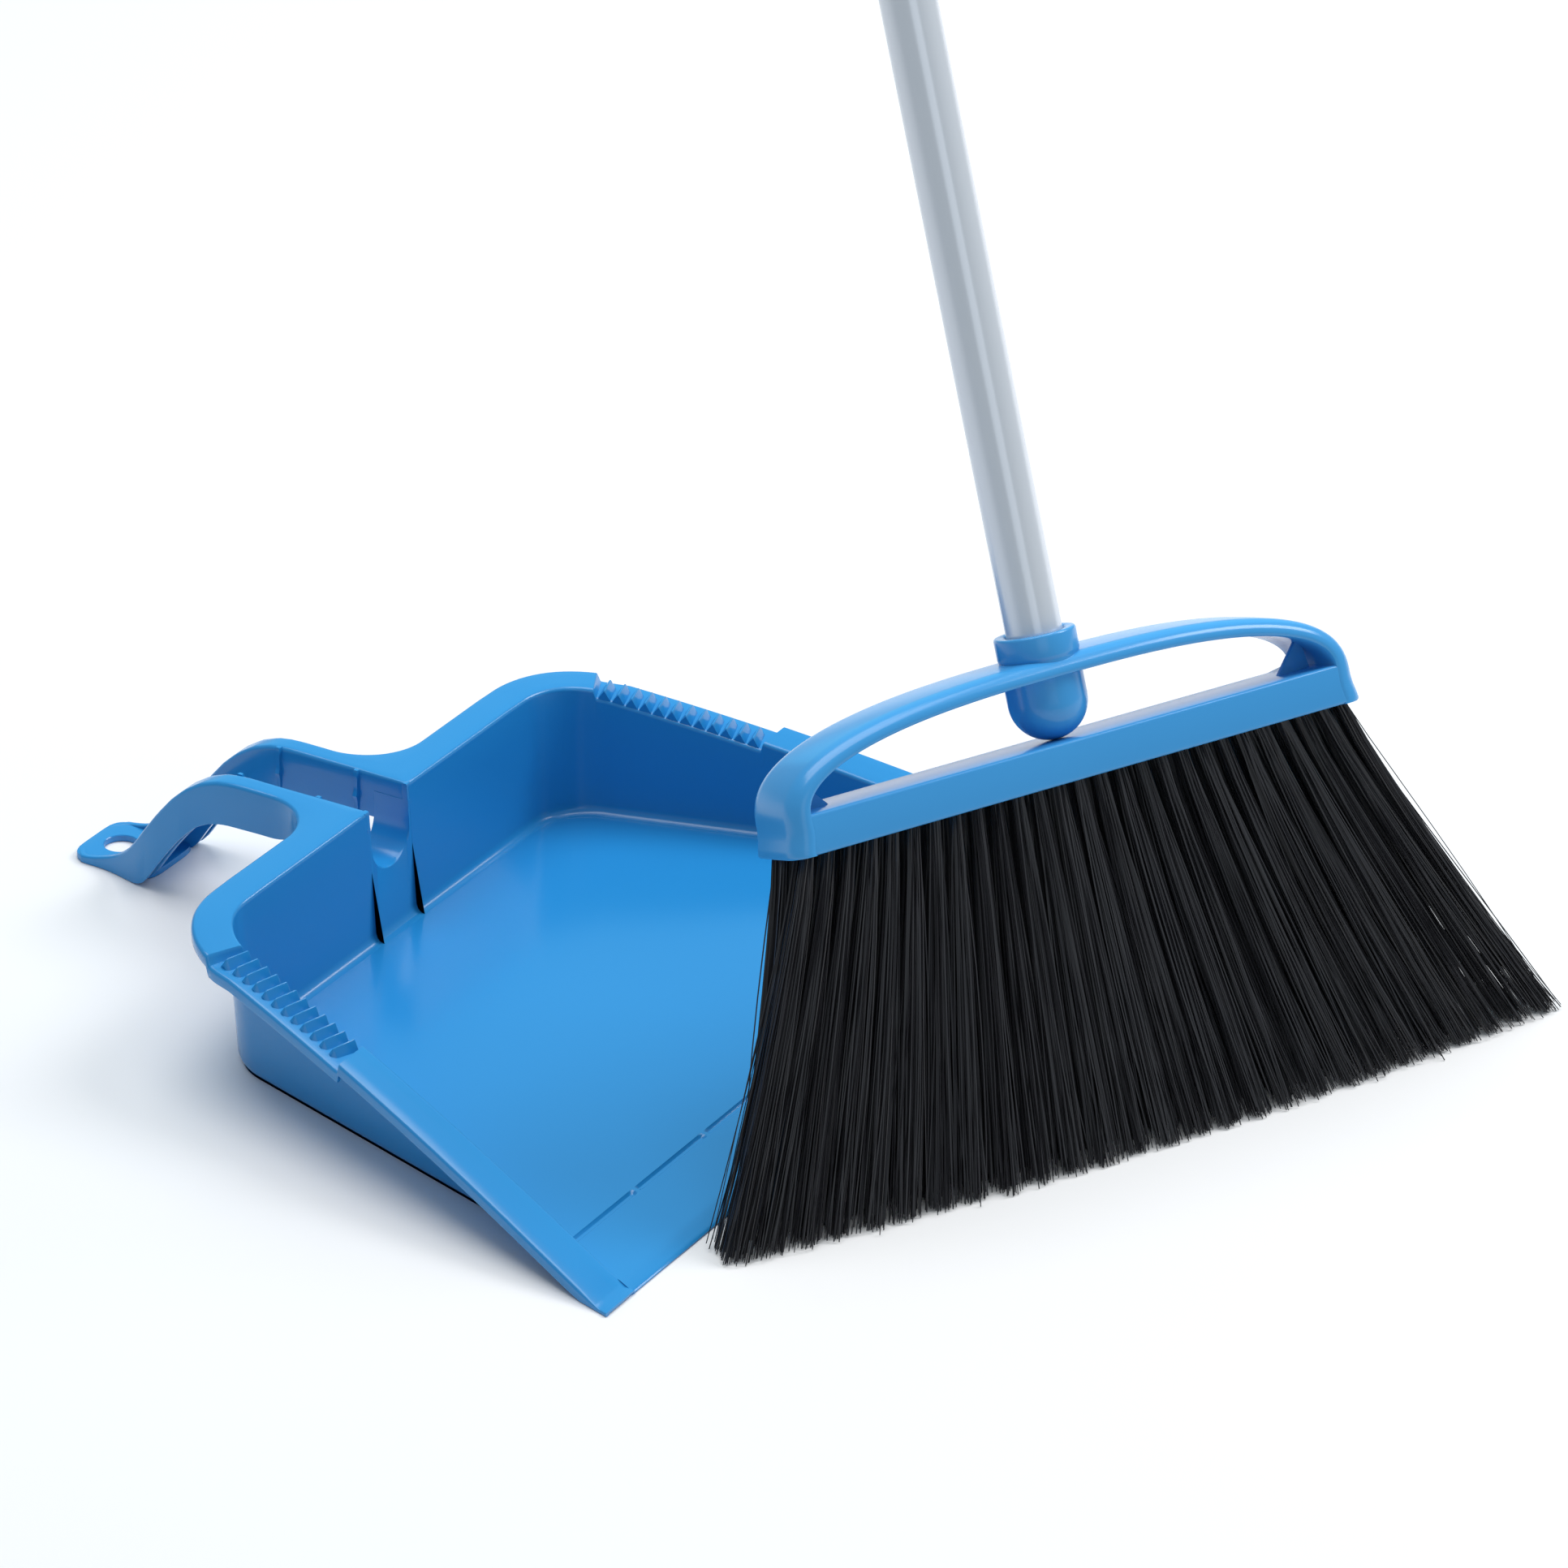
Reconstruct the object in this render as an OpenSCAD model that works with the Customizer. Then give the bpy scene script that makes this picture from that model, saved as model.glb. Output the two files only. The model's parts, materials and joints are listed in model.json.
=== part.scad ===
// Dust pan with a clip handle, and a broom with a screw-in pole.
// Millimetres. +Z up. The origin is on the underside of the pan, on its middle line.
// The pan opens towards -Y and its handle points to +Y.

/* [Which piece to draw] */
// Name of one node, or all

/* [Pan] */
// Inside half width of the floor at the lip
floor_half = 163; // [120:0.5:200]
// Inside length of the floor, from the lip to the rear wall
floor_len = 202; // [150:0.5:260]
// Angle of the flared side walls in plan, degrees
flare = 16; // [8:0.5:22]
// Height of the rim at the rear
rim_h = 53.4; // [40:0.5:70]
// Width of the rim flange, from the foot of the inner wall
rim_w = 17; // [12:0.5:22]
// How far the walls lean outwards over the full height
draft = 2.6; // [0:0.1:4]
// Wall, floor and flange thickness
wall = 2.2; // [1.6:0.1:3]
// Inside corner radius at the rear
corner_r = 24; // [15:0.5:35]
// Slope of the side rim towards the lip, degrees
rim_slope = 18; // [12:0.5:22]
// Number of comb teeth on each side rim
teeth = 12; // [6:1:16]
// Length of the comb along the rim
comb_l = 58; // [40:1:80]
// Distance from the comb's rear end to the rear wall
comb_gap = 14; // [10:1:40]
// Distance of the floor groove behind the lip
groove_y = 33; // [20:0.5:50]

/* [Pan handle] */
// Space between the pole's side and the channel's side, with the pole clipped in
chan_gap = 2.25; // [1:0.05:4]
// Width of one rail
rail_w = 8.4; // [7:0.1:12]
// Height of the bottom of the channel
chan_z = 27; // [22:0.5:32]
// Distance from the rear wall to the end of the foot
handle_l = 131; // [105:1:165]
// Radius of the hanging hole in the foot
hang_r = 6.2; // [4:0.1:8]

/* [Broom head] */
// Half length of the head at its underside
head_half = 114; // [90:0.5:150]
// Depth of the head, front to back
head_d = 31.5; // [26:0.5:40]
// Height of the base bar
bar_h = 14; // [12:0.5:20]
// Height of the arch over the underside of the bar
arch_h = 42; // [36:0.5:56]
// Wall of the pole socket round the tube
sock_wall = 4.35; // [3:0.05:7]
// Height of the socket's collar over the arch
collar_h = 8.5; // [7:0.5:16]

/* [Bristles] */
// Free length of the bristles along the pole's axis
free_l = 118; // [90:1:150]
// Least distance from the head's end to the middle of the last tuft
end_gap = 8.6; // [7:0.1:20]
// Distance between tufts
pitch = 8.1; // [7:0.1:10]
// How much wider the fan is at the tips than at the roots
fan = 1.55; // [1.2:0.01:1.8]
// The same for the two rear rows, which stand closer to the pan
rear_fan = 1.32; // [1.2:0.01:1.8]
// How much deeper the fan is at the tips than at the roots
fan_d = 1.9; // [1.5:0.05:2.2]
// Radius of a tuft at its root
tuft_r = 2.3; // [1.8:0.1:2.8]
// Free length of the flat blade between the rows
blade_l = 60; // [40:1:80]

/* [Pole] */
// Outside diameter of the coated tube
pole_d = 19.5; // [16:0.1:24]
// Wall of the tube
pole_wall = 0.8; // [0.5:0.1:1.2]
// Length of the tube
pole_l = 1080; // [700:10:1300]

/* [Rest place of the broom] */
// Where the broom's axis meets the floor, across
place_x = 23.7; // [-60:0.1:60]
// Clearance between the bristles' tips and the lip
lip_gap = 0.8; // [0.5:0.1:60]
// Turn of the broom seen from above, degrees
turn = -27.5; // [-35:0.5:0]
// Lean of the broom towards the pan, degrees
lean = 22.5; // [10:0.1:26]

/* [Hidden] */
// Distance from the lip back to the origin
origin_y = 100;
$fn = 48;
e = 0.01;
// Room for cutting shapes that run past the model
far = 400;

// Pan
sf = sin(flare);
cf = cos(flare);
cy = floor_len - corner_r;
cx = (floor_half * cf - corner_r - cy * sf) / cf;
arc_n = 12;
floor_t = wall + 0.3;
lip_t = 0.9;
groove_step = 44;
groove_l = 39;
groove_w = 2.4;
turn_down = 4.6;
comb_y1 = floor_len - comb_gap;
comb_y0 = comb_y1 - comb_l;
comb_p = comb_l / teeth;
comb_drop = 3.2;
rim_straight = 40;
rim_round = 1;
rim_curve = (floor_len * tan(rim_slope) - rim_h) / pow(floor_len - rim_straight, 2);

// Pole and thread
pole_r = pole_d / 2;
bore_r = pole_r - pole_wall;
thread_r = pole_r - 1.35;
thread_play = 0.3;
plug_bore = 5;
cap_r = pole_r + 1.4;
cap_hole_r = 5.2;
cap_hole_z = 15.5;
strap_t = 11;

// Handle
chan_half = pole_r + chan_gap;
rail_half = chan_half + rail_w;
notch_half = chan_half - 0.5;
foot_t = 2.6;
foot_half = 15.5;
foot_r = 6;
hang_in = 12;
fillet_r = 22;
foot_y = floor_len + handle_l;
leg_y = foot_y - 20;

// Head
bar_bot = free_l;
deep = head_d / 2;
crown_r = 8;
sock_r = pole_r + sock_wall;
sock_h = arch_h + collar_h;
dome_z = bar_h + sock_r - 1.1;
tube_z = bar_bot + sock_h - 6.5;
thread_z = bar_bot + bar_h + 6;
frame_t = 9;

// Tufts and blade
tufts = 1 + 2 * floor((head_half - end_gap) / pitch);
row_p = 2 * tuft_r + 0.6;
row_y = [-2 * row_p, -row_p, row_p, 2 * row_p];
hole_play = 0.1;
hole_d = bar_h - 3.4;
tuft_in = bar_h - 5.8;
tip_grow = 1;
tip_r = tuft_r + tip_grow;
// Share of the spread across the rows that the end tufts have
end_spread = 0.3;
reach_x = (tufts - 1) / 2 * pitch * rear_fan;
reach_y = 2 * row_p * (1 + end_spread * (fan_d - 1)) / cos(lean);
place_y = -(reach_x * sin(-turn) + reach_y * cos(turn) + tip_r + lip_gap);
blade_t = 1.6;
blade_in = 6.8;
blade_end = 8.2;
slit_p = 15.9;
slit_w = 1.5;

// ---------------------------------------------------------------- pan

// Plan of the pan, moved outwards by n from the inner floor line
function plan_pts(n, front = 0) = concat(
  [[floor_half + (n - front * sf) / cf, front]],
  [for (i = [0:arc_n]) let (a = flare + i * (90 - flare) / arc_n)
    [cx + (corner_r + n) * cos(a), cy + (corner_r + n) * sin(a)]],
  [for (i = [0:arc_n]) let (a = 90 + i * (90 - flare) / arc_n)
    [-cx + (corner_r + n) * cos(a), cy + (corner_r + n) * sin(a)]],
  [[-floor_half - (n - front * sf) / cf, front]]);

module plan(n, front = 0) {
  polygon(plan_pts(n, front));
}

// Solid inside the plan moved out by n, its sides leaning out by the draft over the full height
module tub(n, front = 0) {
  low = plan_pts(n, front);
  top = plan_pts(n + draft, front);
  k = len(low);
  polyhedron(
    points = concat([for (q = low) [q[0], q[1], 0]], [for (q = top) [q[0], q[1], rim_h]]),
    faces = concat([[for (i = [0:k - 1]) i]], [[for (i = [k - 1:-1:0]) k + i]],
      [for (i = [0:k - 1]) let (j = (i + 1) % k) [i, k + i, k + j, j]]));
}

// Height of the rim's top at distance y behind the lip: straight, then flatter, then rounded into level
function rim_rise(y) = y * tan(rim_slope) - rim_curve * pow(max(0, y - rim_straight), 2);
function rim_top(y) =
  y > floor_len + 20 ? rim_h
  : let (f = rim_rise(y))
    max(1.4, min(f, rim_h) - pow(max(0, rim_round - abs(f - rim_h)), 2) / (4 * rim_round));

rim_y = concat([-1, 4.4], [for (i = [0:14]) 12 + i * (floor_len - 22) / 14],
  [for (i = [1:6]) floor_len - 10 + i * 4], [floor_len + 60]);

// A side outline drawn in y and z, given width w across the middle line
module side_shape(points, w) {
  rotate([90, 0, 90]) linear_extrude(height = w, center = true) polygon(points);
}

// Band from drop a to drop b below the rim's top
module rim_band(a, b) {
  ys = concat(rim_y, [far + 200]);
  side_shape(concat([for (y = ys) [y, rim_top(y) - a]],
    [for (i = [len(ys) - 1:-1:0]) [ys[i], rim_top(ys[i]) - b]]), 2 * far);
}

// Everything below the rim's top, seen from the side
module below_rim(a = 0) {
  side_shape(concat([[-1, -1]], [for (y = concat([-1], rim_y)) [y, rim_top(y) - a]],
    [[rim_y[len(rim_y) - 1], -1]]), 2 * far);
}

module walls() {
  difference() {
    tub(wall, 0);
    tub(0, -5);
  }
}

// Everything between two outlines of the pan
module flange_ring(n0, n1) {
  difference() {
    translate([0, 0, -1]) linear_extrude(height = rim_h + 20) plan(n1, -1);
    translate([0, 0, -2]) linear_extrude(height = rim_h + 30) plan(n0, -3);
  }
}

// The part of both side rims from y0 to y1, which leaves out the rear rim
module comb_zone(a, b, y0, y1) {
  intersection() {
    flange_ring(a, b);
    translate([-far, y0, -5]) cube([2 * far, y1 - y0, rim_h + 50]);
    for (s = [0, 1]) mirror([s, 0, 0]) translate([floor_half * 0.37, 0, -5]) cube([far, far, rim_h + 50]);
  }
}

module comb_teeth() {
  intersection() {
    comb_zone(draft + 0.6, rim_w - 4, comb_y0, comb_y1);
    side_shape(concat(
      [for (i = [0:2 * teeth]) let (y = comb_y0 + i * comb_p / 2)
        [y, rim_top(y) + (i % 2 == 1 ? 0.6 : -comb_drop - 0.2)]],
      [for (i = [teeth:-1:0]) let (y = comb_y0 + i * comb_p) [y, rim_top(y) - comb_drop - 1]]), 2 * far);
  }
}

module rim() {
  // plain flange with a turned-down edge, left open where the comb sits
  difference() {
    union() {
      intersection() { flange_ring(draft + 0.2, rim_w); rim_band(0, wall); }
      intersection() { flange_ring(rim_w - 2, rim_w); rim_band(0, turn_down); }
    }
    comb_zone(draft - 1, rim_w + 2, comb_y0, comb_y1);
    translate([-chan_half, floor_len - 5, 10]) cube([2 * chan_half, 40, rim_h + 10]);
  }
  // sunk flange under the comb
  intersection() {
    comb_zone(draft + 0.2, rim_w, comb_y0 - e, comb_y1 + e);
    rim_band(comb_drop, comb_drop + wall);
  }
  intersection() {
    comb_zone(rim_w - 2, rim_w, comb_y0 - e, comb_y1 + e);
    rim_band(comb_drop, turn_down + 1.4);
  }
  // steps at both ends of the comb
  for (y = [comb_y0 - 1.6, comb_y1])
    intersection() {
      comb_zone(draft + 0.2, rim_w, y, y + 1.6);
      rim_band(0, comb_drop + wall);
    }
  comb_teeth();
}

// A point of the handle's side curves: u runs from the rear wall to the foot, h from the floor to the rim
function curve(u, h) = [floor_len + u * (leg_y - floor_len), rim_h * h];
bend_u = 0.54;
steep_u = 0.757;
rail_top = [curve(0.009, 1), curve(0.486, 1), curve(0.559, 0.985), curve(0.622, 0.944),
  curve(0.685, 0.861), curve(0.739, 0.759), curve(0.793, 0.62), curve(0.847, 0.454),
  curve(0.892, 0.306), curve(0.928, 0.185), curve(0.964, 0.096), [leg_y, foot_t]];
rail_low = [curve(0.991, 0), curve(0.883, 0), curve(0.851, 0.065), curve(0.811, 0.185),
  curve(0.766, 0.315), curve(0.712, 0.454), curve(0.658, 0.565), curve(0.595, 0.641),
  curve(0.523, 0.674), curve(0.396, 0.681), curve(0.306, 0.657), curve(0.243, 0.583),
  curve(0.207, 0.463), curve(0.193, 0.315), curve(0.186, 0.167), curve(0.027, 0.167)];

// The curve moved inwards by the thickness d
function inset(points, d) = [for (q = points)
  [q[0] - (q[0] > curve(bend_u, 0)[0] ? 0.62 * d : 0), q[1] - (q[0] > curve(steep_u, 0)[0] ? 0.9 * d : d)]];

function backwards(points) = [for (i = [len(points) - 1:-1:0]) points[i]];

module rail(s) {
  mid = (chan_half + rail_half) / 2;
  difference() {
    translate([s * mid, 0, 0]) side_shape(concat(rail_top, rail_low), rail_w);
    // hollow, open below
    translate([s * mid, 0, 0])
      side_shape(concat(inset(rail_top, wall), [curve(0.991, -0.17), curve(-0.018, -0.17)]), rail_w - 4);
    // keep clear of the pan's inside
    translate([-2 * rail_half, 0, -1]) cube([4 * rail_half, floor_len + 1, rim_h + 30]);
  }
}

// Ribs with a bump each that hold the pole in the channel
module clip_ribs() {
  for (s = [-1, 1], u = [0.207, 0.505]) {
    y = curve(u, 0)[0];
    translate([s * (chan_half + 0.3) - (s > 0 ? 1.8 : 0), y, rim_h - 18]) cube([1.8, 1.8, 15]);
    translate([s * (chan_half - 0.3), y + 0.9, rim_h - 8]) sphere(r = 1.9, $fn = 24);
  }
}

module handle() {
  foot_y0 = curve(0.883, 0)[0];
  fillet_x = rail_half + fillet_r - 0.3;
  difference() {
    union() {
      rail(1);
      rail(-1);
      // web behind the lower leg
      intersection() {
        side_shape(concat(rail_top, backwards(inset(rail_top, wall + 0.2))), 2 * chan_half + 1);
        translate([-rail_half, curve(0.613, 0)[0], 0]) cube([2 * rail_half, foot_y, chan_z]);
      }
      clip_ribs();
      // flange fillets that carry the rim out to the rails
      for (s = [0, 1]) mirror([s, 0, 0])
        translate([0, 0, rim_h - wall]) linear_extrude(height = wall) difference() {
          translate([rail_half - 2, floor_len + rim_w - 3]) square([fillet_r + 1, fillet_r + 2]);
          translate([fillet_x, floor_len + rim_w + fillet_r - 0.3]) circle(r = fillet_r, $fn = 64);
        }
      // foot
      linear_extrude(height = foot_t) {
        translate([-foot_half, foot_y0]) square([2 * foot_half, foot_y - foot_y0 - foot_r]);
        translate([foot_r - foot_half, foot_y0]) square([2 * (foot_half - foot_r), foot_y - foot_y0]);
        for (s = [-1, 1]) translate([s * (foot_half - foot_r), foot_y - foot_r]) circle(r = foot_r);
      }
    }
    translate([0, foot_y - hang_in, -1]) cylinder(r = hang_r, h = foot_t + 2.4);
  }
}

// Half-round trough behind the notch, which the pole lies in
module trough() {
  r = notch_half + wall;
  z = chan_z + notch_half;
  translate([0, floor_len + rim_w, 0]) rotate([90, 0, 0]) linear_extrude(height = rim_w - 1)
    polygon(concat([for (i = [0:16]) [r * cos(180 + i * 11.25), z + r * sin(180 + i * 11.25)]],
      [[r, z + 8], [-r, z + 8]]));
}

module floor_plate() {
  difference() {
    linear_extrude(height = floor_t) plan(wall - 0.5, 0);
    // bevelled lip
    translate([-far, -1, 0]) rotate([0, 90, 0]) linear_extrude(height = 2 * far)
      polygon([[-lip_t, 0], [-lip_t, 1], [-2.6, 7], [-9, 7], [-9, 0]]);
    // groove with round ends and bridges
    for (i = [-3:3])
      translate([i * groove_step, groove_y, wall - 0.9]) linear_extrude(height = 3) {
        square([groove_l, groove_w], center = true);
        for (s = [-1, 1]) translate([s * groove_l / 2, 0]) circle(r = groove_w / 2, $fn = 24);
      }
  }
}

module pan_body() {
  color([0.10, 0.48, 0.78]) translate([0, -origin_y, 0]) difference() {
    union() {
      floor_plate();
      intersection() {
        walls();
        below_rim(0.2);
      }
      intersection() {
        rim();
        translate([-far, 0, 0]) cube([2 * far, far, rim_h + 40]);
      }
      handle();
      trough();
    }
    // notch for the pole in the rear wall
    translate([0, floor_len - 12, 0]) rotate([-90, 0, 0]) linear_extrude(height = rim_w + 14) {
      translate([0, -(chan_z + notch_half)]) circle(r = notch_half);
      translate([-notch_half, -rim_h - 36]) square([2 * notch_half, rim_h + 36 - chan_z - notch_half]);
    }
  }
}

// ---------------------------------------------------------------- broom

module broom_place() {
  translate([place_x, place_y - origin_y, 0]) rotate([0, 0, turn]) rotate([-lean, 0, 0]) children();
}

// Quarter of a rounded arch of half width a, height h and squareness p
function arc_pts(a, h, p, n) =
  [for (i = [0:n]) let (t = 90 * i / n) [a * pow(cos(t), 2 / p), h * pow(sin(t), 2 / p)]];

module half_mirror(points) {
  polygon(concat(points, [for (q = backwards(points)) [-q[0], q[1]]]));
}

module arch_outer() {
  half_mirror(concat([[head_half, 0], [head_half - 0.6, 4], [head_half - 2, 8]],
    [for (q = arc_pts(head_half - 2.5, arch_h, 3.1, 16)) if (q[1] > 9) q]));
}

module window() {
  difference() {
    half_mirror(concat([[head_half - frame_t, bar_h]],
      [for (q = arc_pts(head_half - frame_t, arch_h - 5.6, 3.6, 16)) if (q[1] > bar_h + 1) q]));
    translate([-head_half, 0]) square([2 * head_half, bar_h]);
  }
}

// Puts a child on tuft i of a row, its z along the tuft, z = 0 at the bar's underside
// The end tufts spread less across the rows than the middle ones
module at_tuft(i, y) {
  x = (i - (tufts - 1) / 2) * pitch;
  spread = (fan_d - 1) * (1 - (1 - end_spread) * pow(2 * x / ((tufts - 1) * pitch), 2));
  widen = (y < 0 ? fan : rear_fan) - 1;
  translate([x, y, bar_bot]) rotate([atan(y * spread / free_l), 0, 0])
    rotate([0, 180 - atan(x * widen / free_l), 0]) children();
}

module all_tufts() {
  for (r = row_y, i = [0:tufts - 1]) at_tuft(i, r) children();
}

module broom_head() {
  step_w = head_half - 40;
  color([0.20, 0.56, 0.83]) broom_place() difference() {
    union() {
      translate([0, 0, bar_bot]) intersection() {
        rotate([90, 0, 0]) linear_extrude(height = head_d, center = true) difference() {
          arch_outer();
          window();
        }
        // rounded shoulders, seen from the end
        rotate([90, 0, 90]) linear_extrude(height = 2 * head_half + 72, center = true) {
          translate([-deep, -1]) square([head_d, arch_h + 1 - crown_r]);
          translate([-deep + crown_r, 0]) square([head_d - 2 * crown_r, arch_h + 1]);
          for (s = [-1, 1]) translate([s * (deep - crown_r), arch_h - crown_r]) circle(r = crown_r);
        }
      }
      // socket collar, body and domed lower end
      translate([0, 0, bar_bot]) {
        translate([0, 0, dome_z]) cylinder(r = sock_r - 0.4, h = sock_h - dome_z);
        translate([0, 0, arch_h]) cylinder(r = sock_r, h = collar_h);
        translate([0, 0, dome_z]) sphere(r = sock_r - 0.4);
      }
      // gusset ribs in the two end pockets
      for (s = [0, 1]) mirror([s, 0, 0]) translate([0, 1, bar_bot])
        rotate([90, 0, 0]) linear_extrude(height = 2)
          polygon([[head_half - 20, bar_h - 1], [head_half - 6, bar_h - 1], [head_half - 6, bar_h + 13]]);
    }
    // step along the rear half of the bar's top
    for (x = [sock_r + 1.4, -sock_r - 1.4 - step_w])
      translate([x, 1, bar_bot + bar_h - 1]) cube([step_w, deep, 1 + e]);
    // recess for the tube and bore for the threaded plug
    translate([0, 0, tube_z - 1.2]) cylinder(r = pole_r + 0.4, h = 20);
    translate([0, 0, thread_z - 1.5]) cylinder(r = thread_r + thread_play, h = sock_h);
    // tuft holes and blade slot
    all_tufts() translate([0, 0, -hole_d]) cylinder(r = tuft_r + hole_play, h = hole_d + 1.4, $fn = 24);
    translate([-head_half + blade_end - 0.2, -blade_t / 2 - 0.05, bar_bot - 1])
      cube([2 * (head_half - blade_end + 0.2), blade_t + 0.1, blade_in + 1.2]);
  }
}

// Half space above the floor, in the broom's own frame
module above_floor() {
  rotate([lean, 0, 0]) translate([-far, -far, 0.15]) cube([2 * far, 2 * far, far]);
}

module tuft_row(y) {
  color([0.10, 0.10, 0.11]) broom_place() intersection() {
    union() for (i = [0:tufts - 1]) at_tuft(i, y) {
      translate([0, 0, -tuft_in]) cylinder(r = tuft_r, h = tuft_in + e, $fn = 24);
      cylinder(r1 = tuft_r, r2 = tip_r, h = free_l * 1.3, $fn = 24);
    }
    above_floor();
  }
}

module tufts_front_outer() { tuft_row(row_y[0]); }
module tufts_front_inner() { tuft_row(row_y[1]); }
module tufts_rear_inner() { tuft_row(row_y[2]); }
module tufts_rear_outer() { tuft_row(row_y[3]); }

module tuft_anchors() {
  color([0.62, 0.63, 0.65]) broom_place()
    all_tufts() translate([-tuft_r + 0.2, -0.5, 0.2 - hole_d]) cube([2 * tuft_r - 0.4, 1, 2]);
}

module wiper_blade() {
  blade_half = head_half - blade_end;
  slits = floor((blade_half - 2) / slit_p);
  color([0.05, 0.45, 0.70]) broom_place() difference() {
    translate([-blade_half, -blade_t / 2, bar_bot - blade_l]) cube([2 * blade_half, blade_t, blade_l + blade_in]);
    for (i = [-slits:slits])
      translate([i * slit_p - slit_w / 2, -2, bar_bot - blade_l - 1]) cube([slit_w, 4, blade_l - 3]);
  }
}

module pole_tube() {
  color([0.80, 0.83, 0.88]) broom_place() translate([0, 0, tube_z]) difference() {
    cylinder(r = pole_r, h = pole_l);
    translate([0, 0, -1]) cylinder(r = bore_r, h = pole_l + 2);
  }
}

module pole_thread_plug() {
  color([0.16, 0.17, 0.19]) broom_place() difference() {
    union() {
      translate([0, 0, thread_z]) cylinder(r = thread_r, h = tube_z - thread_z);
      translate([0, 0, tube_z - 0.9]) cylinder(r = pole_r - 0.3, h = 0.85);
      translate([0, 0, tube_z - 0.2]) cylinder(r = bore_r - 0.05, h = 42);
    }
    translate([0, 0, thread_z - 1]) cylinder(r = plug_bore, h = tube_z - thread_z + 36);
  }
}

module pole_top_cap() {
  color([0.10, 0.48, 0.78]) broom_place() translate([0, 0, tube_z + pole_l]) difference() {
    union() {
      translate([0, 0, -46]) cylinder(r = cap_r, h = 47.5);
      // strap with a round top
      translate([0, 0, 1.5]) intersection() {
        cylinder(r = cap_r, h = 40);
        rotate([90, 0, 0]) linear_extrude(height = 4 * cap_r, center = true) {
          translate([-2 * cap_r, 0]) square([4 * cap_r, 16]);
          translate([0, 16]) circle(r = cap_r);
        }
        translate([-2 * cap_r, -strap_t / 2, -1]) cube([4 * cap_r, strap_t, 60]);
      }
    }
    translate([0, 0, -47]) cylinder(r = pole_r + 0.1, h = 47.2);
    translate([0, 0, cap_hole_z]) rotate([90, 0, 0]) cylinder(r = cap_hole_r, h = 4 * cap_r, center = true);
  }
}

pan_body();
broom_head();
wiper_blade();
tufts_front_outer();
tufts_front_inner();
tufts_rear_inner();
tufts_rear_outer();
tuft_anchors();
pole_tube();
pole_thread_plug();
pole_top_cap();
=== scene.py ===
"""Dust pan and broom set: the visible surfaces, their finishes, the floor, the lights and the camera."""
import json
import math

import bmesh
import bpy
import numpy as np
from bpy.props import FloatProperty, FloatVectorProperty, IntProperty, PointerProperty
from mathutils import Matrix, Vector


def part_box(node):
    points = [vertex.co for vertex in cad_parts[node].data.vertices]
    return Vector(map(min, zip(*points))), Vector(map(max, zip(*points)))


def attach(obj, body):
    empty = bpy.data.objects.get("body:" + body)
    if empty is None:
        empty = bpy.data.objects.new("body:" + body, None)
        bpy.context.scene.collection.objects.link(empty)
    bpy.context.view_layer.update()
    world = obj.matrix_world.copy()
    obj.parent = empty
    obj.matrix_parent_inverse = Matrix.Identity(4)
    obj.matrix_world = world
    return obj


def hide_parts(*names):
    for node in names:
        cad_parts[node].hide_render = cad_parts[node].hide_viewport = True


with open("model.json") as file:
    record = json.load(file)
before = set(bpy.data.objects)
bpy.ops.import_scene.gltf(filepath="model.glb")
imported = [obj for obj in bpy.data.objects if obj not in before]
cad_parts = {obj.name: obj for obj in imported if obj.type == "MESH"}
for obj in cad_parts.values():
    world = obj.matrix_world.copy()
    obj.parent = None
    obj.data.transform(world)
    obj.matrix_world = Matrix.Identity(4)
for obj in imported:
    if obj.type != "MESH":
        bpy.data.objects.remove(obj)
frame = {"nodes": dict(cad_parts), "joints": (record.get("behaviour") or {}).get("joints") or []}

bl_info = {
    "name": "Dust pan and broom set",
    "version": (1, 0, 0),
    "blender": (4, 5, 0),
    "location": "3D View > Sidebar > Sweeping",
    "description": "Builds the surfaces of a dust pan and a long-handled broom round their packed frame",
    "category": "Add Mesh",
}

MM = 0.001


# ---------------------------------------------------------------- where things are in the frame

def unit(v):
    """A vector divided by its own length."""
    v = np.asarray(v, float)
    return v / np.linalg.norm(v)


PAN_LOW = np.array(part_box("pan_body")[0]) / MM
TURN = next(j for j in frame["joints"] if j["name"] == "pole_turn")
AXIS = unit(TURN["axis"])
TUBE_FOOT = np.array(TURN["pos_m"]) / MM
ON_FLOOR = TUBE_FOOT - AXIS * TUBE_FOOT[2] / AXIS[2]
ACROSS = unit(np.cross(AXIS, (0, 0, 1)))
BEHIND = np.cross(AXIS, ACROSS)
TUBE_Z = float(np.linalg.norm(TUBE_FOOT - ON_FLOOR))
LEAN = math.atan2(math.hypot(AXIS[0], AXIS[1]), AXIS[2])


def broom_point(x, y, z):
    """Points of the broom's own frame put into the row frame: x along the head, y backwards and z up
    the pole."""
    x, y, z = np.broadcast_arrays(np.asarray(x, float), y, z)
    return ON_FLOOR + x[..., None] * ACROSS + y[..., None] * BEHIND + z[..., None] * AXIS


def node_in_broom(name):
    """Lowest and highest corner of a CAD node in the broom's own frame, in millimetres."""
    mesh = frame["nodes"][name].data
    co = np.empty(len(mesh.vertices) * 3)
    mesh.vertices.foreach_get("co", co)
    d = co.reshape(-1, 3) / MM - ON_FLOOR
    q = np.stack([d @ ACROSS, d @ BEHIND, d @ AXIS], -1)
    return q.min(0), q.max(0)


HEAD_LOW, HEAD_HIGH = node_in_broom("broom_head")
BLADE_LOW, BLADE_HIGH = node_in_broom("wiper_blade")
POLE_LOW, POLE_HIGH = node_in_broom("pole_tube")
LIP_Y = float(PAN_LOW[1])


# ---------------------------------------------------------------- sizes and colours a user would change

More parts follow.
